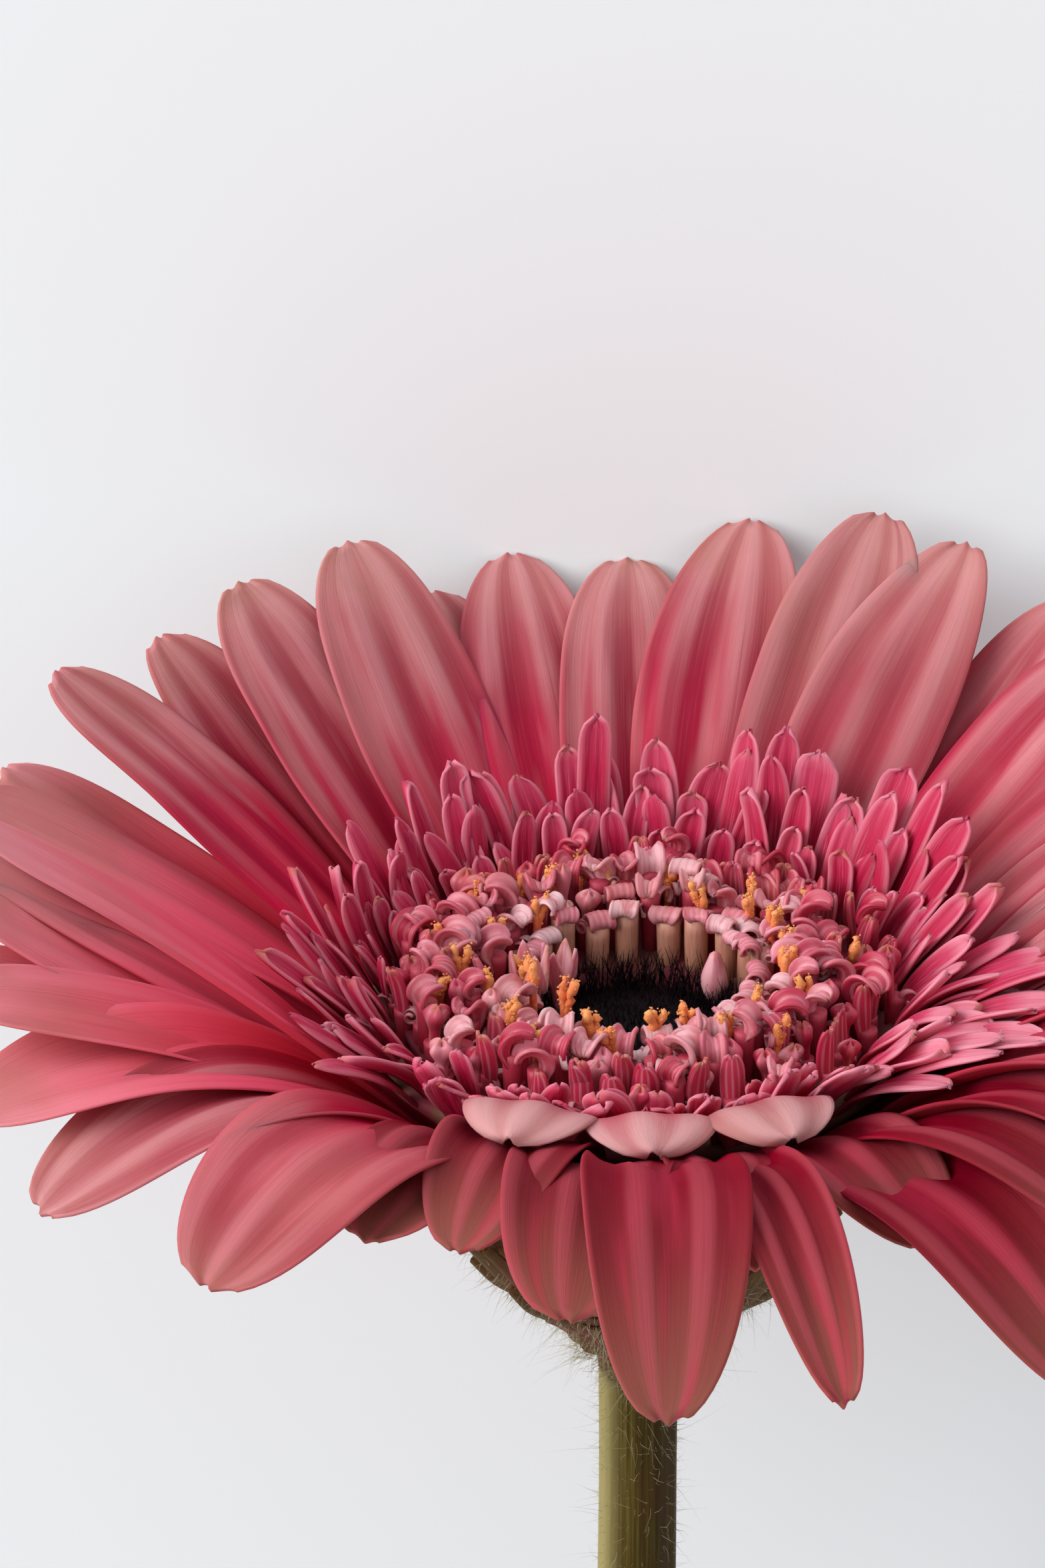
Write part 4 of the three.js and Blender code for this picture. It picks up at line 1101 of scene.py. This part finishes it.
def trans_look():
    """Vivid pink, paler along the edges, with fine stripes, and a tan tip here and there."""
    look = Look("trans_petal", 0.55, specular_ior_level=0.15)
    along, across, tone = look.place()
    share = (along - look.attribute("flush_and_painted_light") * 0.2).clamped()
    look.body = look.ramp(share, (0, 92, 0, 24), (0.3, 158, 2, 46), (0.62, 184, 24, 68), (0.86, 196, 62, 94),
                          (1, 218, 124, 142))
    stripes = look.noise(look.vector(along * 1.2, across * 6, tone), 2.4, 3, 0.6)
    look.tint(stripes.within(0.45, 0.75, 0, 0.4), (168, 8, 58))
    look.tint(stripes.within(0.5, 0.28, 0, 0.3), (236, 138, 164))
    look.tint(abs(across).within(0.55, 1, 0, 0.45) * along.within(0.3, 0.8, 0.2, 1), (240, 164, 180))
    look.tint(along.within(0.93, 1) * tone.within(0.5, 0.9, 0, 0.6), (180, 100, 72))
    look.bump(stripes, 0.3, 0.12)
    look.soften(0.3, (0.9, 0.14, 0.2))
    return look.finished()


def lip_look():
    """Lips in soft pinks and near white, deeper pink and tan in places. A high flush makes them crimson."""
    look = Look("disc_lip", 0.4, specular_ior_level=0.45)
    along, across, tone = look.place()
    flush_and_painted_light = look.attribute("flush_and_painted_light")
    look.body = look.ramp(along, (0, 156, 24, 54), (0.3, 202, 72, 98), (1, 222, 116, 138))
    look.tint(tone.within(0.2, 0.8, 0.25, 0.9) * flush_and_painted_light.within(0.15, 0.6, 1, 0.1), (244, 202, 205))
    look.tint(flush_and_painted_light.within(0.1, 0.9, 0, 0.9), (184, 26, 68))
    wave = (across * 13 + tone * 6).cosine()
    look.tint(wave.within(0.1, 0.9, 0, 0.3), (236, 180, 184))
    look.tint(wave.within(-0.2, -0.95, 0, 0.22), (176, 44, 76))
    look.tint(along.within(0.9, 1) * tone.within(0.25, 0.6, 0, 0.6), (204, 128, 96))
    blotches = look.noise(look.vector(along, across, tone * 30), 1.6, 3)
    look.tint(blotches.within(0.46, 0.7, 0, 0.6), (176, 34, 64))
    look.tint(look.world_noise(90).within(0.5, 0.7, 0, 0.28), (190, 104, 84))
    look.bump(look.noise(look.vector(along, across * 5, tone), 3, 3), 0.3, 0.1)
    look.soften(0.3, (0.8, 0.22, 0.26))
    return look.finished()


def tube_look():
    """Beige tubes round the eye and crimson ones further out, maroon towards their foot."""
    look = Look("disc_tube", 0.5)
    along, across, tone = look.place()
    look.body = look.ramp(along, (0, 40, 12, 20), (0.3, 112, 62, 54), (0.6, 186, 132, 104),
                          (1, 204, 146, 124))
    look.tint(tone.within(0.4, 0.6), look.ramp(along, (0, 70, 4, 18), (0.5, 150, 18, 44), (1, 190, 56, 82)))
    streaks = look.noise(look.vector(along * 1.5, across * 5, tone), 3, 3, 0.6)
    look.tint(streaks.within(0.45, 0.7, 0, 0.4), (166, 84, 88))
    look.bump(streaks, 0.3, 0.15)
    look.soften(0.25, (0.8, 0.35, 0.3))
    return look.finished()


def anther_look():
    """Orange tubes, redder below, crusted with yellow pollen."""
    look = Look("anther", 0.7)
    along, _, tone = look.place()
    look.body = look.ramp(along, (0, 196, 64, 60), (0.5, 230, 102, 66), (0.7, 240, 132, 76),
                          (1, 244, 160, 96))
    look.tint(tone.within(0.6, 0.9, 0, 0.35), (232, 104, 60))
    speckles = look.world_noise(2600)
    look.tint(speckles.within(0.5, 0.7, 0, 0.35), (248, 190, 110))
    look.bump(speckles, 0.6, 0.12)
    look.soften(0.15, (0.6, 0.3, 0.1))
    return look.finished()


def eye_look():
    """Near-black maroon."""
    look = Look("dark_eye", 0.7, specular_ior_level=0.15)
    look.body = look.blend(look.place()[2].within(0.4, 1), (10, 4, 8), (40, 12, 22))
    look.tint(look.world_noise(400).within(0.5, 0.7, 0, 0.5), (30, 10, 18))
    look.bump(look.world_noise(900, 3), 0.5, 0.2)
    return look.finished()


def green_look(name, pale, middle, dark, rusty):
    """Olive green skin with long fibres and a rusty tinge here and there."""
    look = Look(name, 0.65, specular_ior_level=0.1, sheen_weight=0.02, sheen_roughness=0.5)
    along, across, tone = look.place()
    fibres = look.noise(look.vector(along * 8, across * 14, tone), 2.5, 4, 0.6)
    look.body = look.ramp(fibres, (0.25, *dark), (0.5, *middle), (0.75, *pale))
    look.tint(look.world_noise(140, 4).within(0.45, 0.7, 0, 0.5), rusty)
    look.bump(fibres, 0.4, 0.25)
    look.soften(0.15, (0.5, 0.7, 0.2))
    return look


def stem_look():
    """Green skin with painted light on its +Y side and painted shade on its -Y side, yellower at the foot,
    and pale pith on the cut.
    """
    look = green_look("stem_skin", (112, 100, 44), (74, 58, 14), (44, 30, 6), (86, 54, 18))
    along, across, _ = look.place()
    # Painted light on the stem's +Y side and painted shade on its -Y side
    side = (across * math.pi).cosine()
    look.tint(side.within(-0.35, -1, 0, 0.7), (176, 162, 104))
    look.tint(side.within(-0.2, 0.6, 0, 0.55), (44, 28, 10))
    look.tint(along.within(0.86, 1, 0, 0.55), (150, 128, 78))
    pith = look.ramp(look.world_noise(900, 3), (0.35, 206, 202, 158), (0.65, 232, 226, 190))
    look.tint(along.within(1.03, 1.075), pith)
    return look.finished()


def bed_look():
    """What the florets stand on: green, flushed with crimson."""
    look = Look("floret_bed", 0.7)
    look.body = look.blend(look.world_noise(160, 4).within(0.35, 0.65), (120, 26, 48), (104, 70, 44))
    look.bump(look.world_noise(700, 3), 0.4, 0.2)
    return look.finished()


def hair_look():
    """Fine hairs from cream to straw."""
    look = Look("hair", 0.45, sheen_weight=0.3, sheen_roughness=0.4)
    look.body = look.blend(look.place()[2], (214, 208, 172), (168, 150, 96))
    return look.finished()


def floor_look():
    look = Look("pale_floor", 0.75)
    look.body = look.blend(look.world_noise(3), (244, 245, 245), (241, 243, 243))
    return look.finished()


# ---------------------------------------------------------------- assembly
# The solid that the pieces of each slot replace.
SOLIDS = dict(
    rays="ray_florets", trans="trans_florets", disc="disc_florets", eye="disc_eye", bracts="involucre",
    stem="stem",
)


def finish_piece(piece, slot):
    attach(piece, "root")
    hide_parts(SOLIDS[slot])


def make(name, look, slot, fill):
    """Builds one piece: fill adds its shells to a builder."""
    builder = Builder()
    fill(builder)
    finish_piece(builder.build(name, look), slot)


def every(add, count):
    """A fill that adds each of some florets, given by its number."""
    return lambda builder: [add(builder, k) for k in range(count)]


def every_in(add, counts, *rows):
    """A fill that adds each floret of some rows, given by its row and its number in it."""
    return lambda builder: [add(builder, row, k) for row in rows for k in range(counts[row])]


petal, trans, lip = ray_look("ray_petal"), trans_look(), lip_look()
bed, dark, hair = bed_look(), eye_look(), hair_look()

ray_counts = [len(FRONT_RAYS), len(BACK_RAYS)]
make("front_rays", petal, "rays", every_in(ray_floret, ray_counts, 0))
make("back_rays", petal, "rays", every_in(ray_floret, ray_counts, 1))
make("ray_hub", bed, "rays", lambda b: add_lathe(b, HUB, 84, ripples=21, depth=0.18))

trans_counts = [size["count"] for size in TRANS_ROWS]
make("trans_florets_outer", trans, "trans", every_in(trans_floret, trans_counts, 0, 1))
make("trans_florets_inner", trans, "trans", every_in(trans_floret, trans_counts, 2, 3))
make("middle_rays", ray_look("middle_petal", 0.95), "trans", every(middle_ray, MIDDLE_RAYS["count"]))
make("trans_dish", bed, "trans", lambda b: add_lathe(b, DISH, 96))

lips, tubes, curls = Builder(), Builder(), Builder()
for row, size in enumerate(DISC_ROWS):
    for k in range(size["count"]):
        disc_floret(lips, tubes, curls, row, k)
bud(lips)
finish_piece(lips.build("disc_lips", lip), "disc")
finish_piece(tubes.build("disc_tubes", tube_look()), "disc")
finish_piece(curls.build("disc_curls", lip), "disc")
make("anthers", anther_look(), "disc", every(anther, len(ANTHERS)))
make("upright_corollas", lip, "disc", every(upright_corolla, len(UPRIGHT)))
make("disc_bed", bed, "disc", lambda b: add_lathe(b, DISC_BED, 96))

make("eye_bed", dark, "eye", lambda b: add_lathe(b, CUSHION, 72))
make("eye_bristles", dark, "eye", eye_bristles)

green = green_look("bract_skin", (122, 104, 60), (96, 66, 36), (62, 38, 20), (140, 52, 52)).finished()
outline = cup_line()[1]
cup = [(0, outline[0][1]), *outline, (0, outline[-1][1])]
make("receptacle", green, "bracts", lambda b: add_lathe(b, cup, 96, ripples=13, depth=0.08))
make("bracts", green, "bracts", every_in(bract, [size["count"] for size in BRACT_ROWS], 0, 1, 2))
make("involucre_hairs", hair, "bracts", involucre_hairs)
make("stem_skin", stem_look(), "stem", stem_skin)
make("stem_hairs", hair, "stem", stem_hairs)

# ---------------------------------------------------------------- floor, camera and light
FLOOR_SIDE = 14  # metres
VIEW_ABOVE_DISC = 28  # the line of sight is this much above the plane of the disc
CAMERA_DISTANCE = 330
FOCAL_PIXELS = 6864
PHOTO_SIZE = (1568, 2352)
CENTRE_PIXEL = (958, 1445)  # where the head's centre lies in the photograph
SENSOR_HEIGHT = 36
SKY_COLOUR, SKY_STRENGTH = (0.93, 0.96, 1.0, 1), 0.67


def make_floor():
    bpy.ops.mesh.primitive_plane_add(size=FLOOR_SIDE, location=(0, 0, 0))
    floor = bpy.context.object
    floor.name = "floor"
    floor.data.materials.append(floor_look())


def make_camera():
    above = math.radians(VIEW_ABOVE_DISC)
    back = -math.cos(above) * HEAD_AXES[1] + math.sin(above) * HEAD_AXES[2]
    right = HEAD_AXES[0]
    up = np.cross(back, right)
    data = bpy.data.cameras.new("camera")
    data.sensor_fit = "VERTICAL"
    data.sensor_height = SENSOR_HEIGHT
    data.lens = SENSOR_HEIGHT * FOCAL_PIXELS / PHOTO_SIZE[1]
    data.clip_start = 0.01
    camera = bpy.data.objects.new("camera", data)
    bpy.context.scene.collection.objects.link(camera)
    aside, below = ((CENTRE_PIXEL[i] - PHOTO_SIZE[i] / 2) / FOCAL_PIXELS for i in (0, 1))
    aim = Vector((aside, -below, -1)).rotation_difference(Vector((0, 0, -1))).to_matrix()
    turn = Matrix([list(v) for v in zip(right, up, back)]) @ aim
    place = (HEAD_CENTRE + back * CAMERA_DISTANCE) * MM
    camera.matrix_world = Matrix.Translation(place) @ turn.to_4x4()
    bpy.context.scene.camera = camera


def softbox(name, towards, distance, side, watts):
    """A square area light that faces the head from a direction. Its distance and side are in metres."""
    data = bpy.data.lights.new(name, "AREA")
    data.shape, data.size, data.energy = "SQUARE", side, watts
    lamp = bpy.data.objects.new(name, data)
    bpy.context.scene.collection.objects.link(lamp)
    lamp.location = Vector(HEAD_CENTRE * MM) + Vector(towards).normalized() * distance
    lamp.rotation_euler = Vector(towards).to_track_quat("Z", "Y").to_euler()


def make_sky():
    world = bpy.data.worlds.new("studio")
    bpy.context.scene.world = world
    world.use_nodes = True
    background = world.node_tree.nodes["Background"].inputs
    background["Color"].default_value = SKY_COLOUR
    background["Strength"].default_value = SKY_STRENGTH


make_floor()
make_camera()
softbox("key_light", towards=(0.5, 0.8, 0.42), distance=2.2, side=1.6, watts=45)
make_sky()
bpy.context.scene.view_settings.view_transform = "Standard"
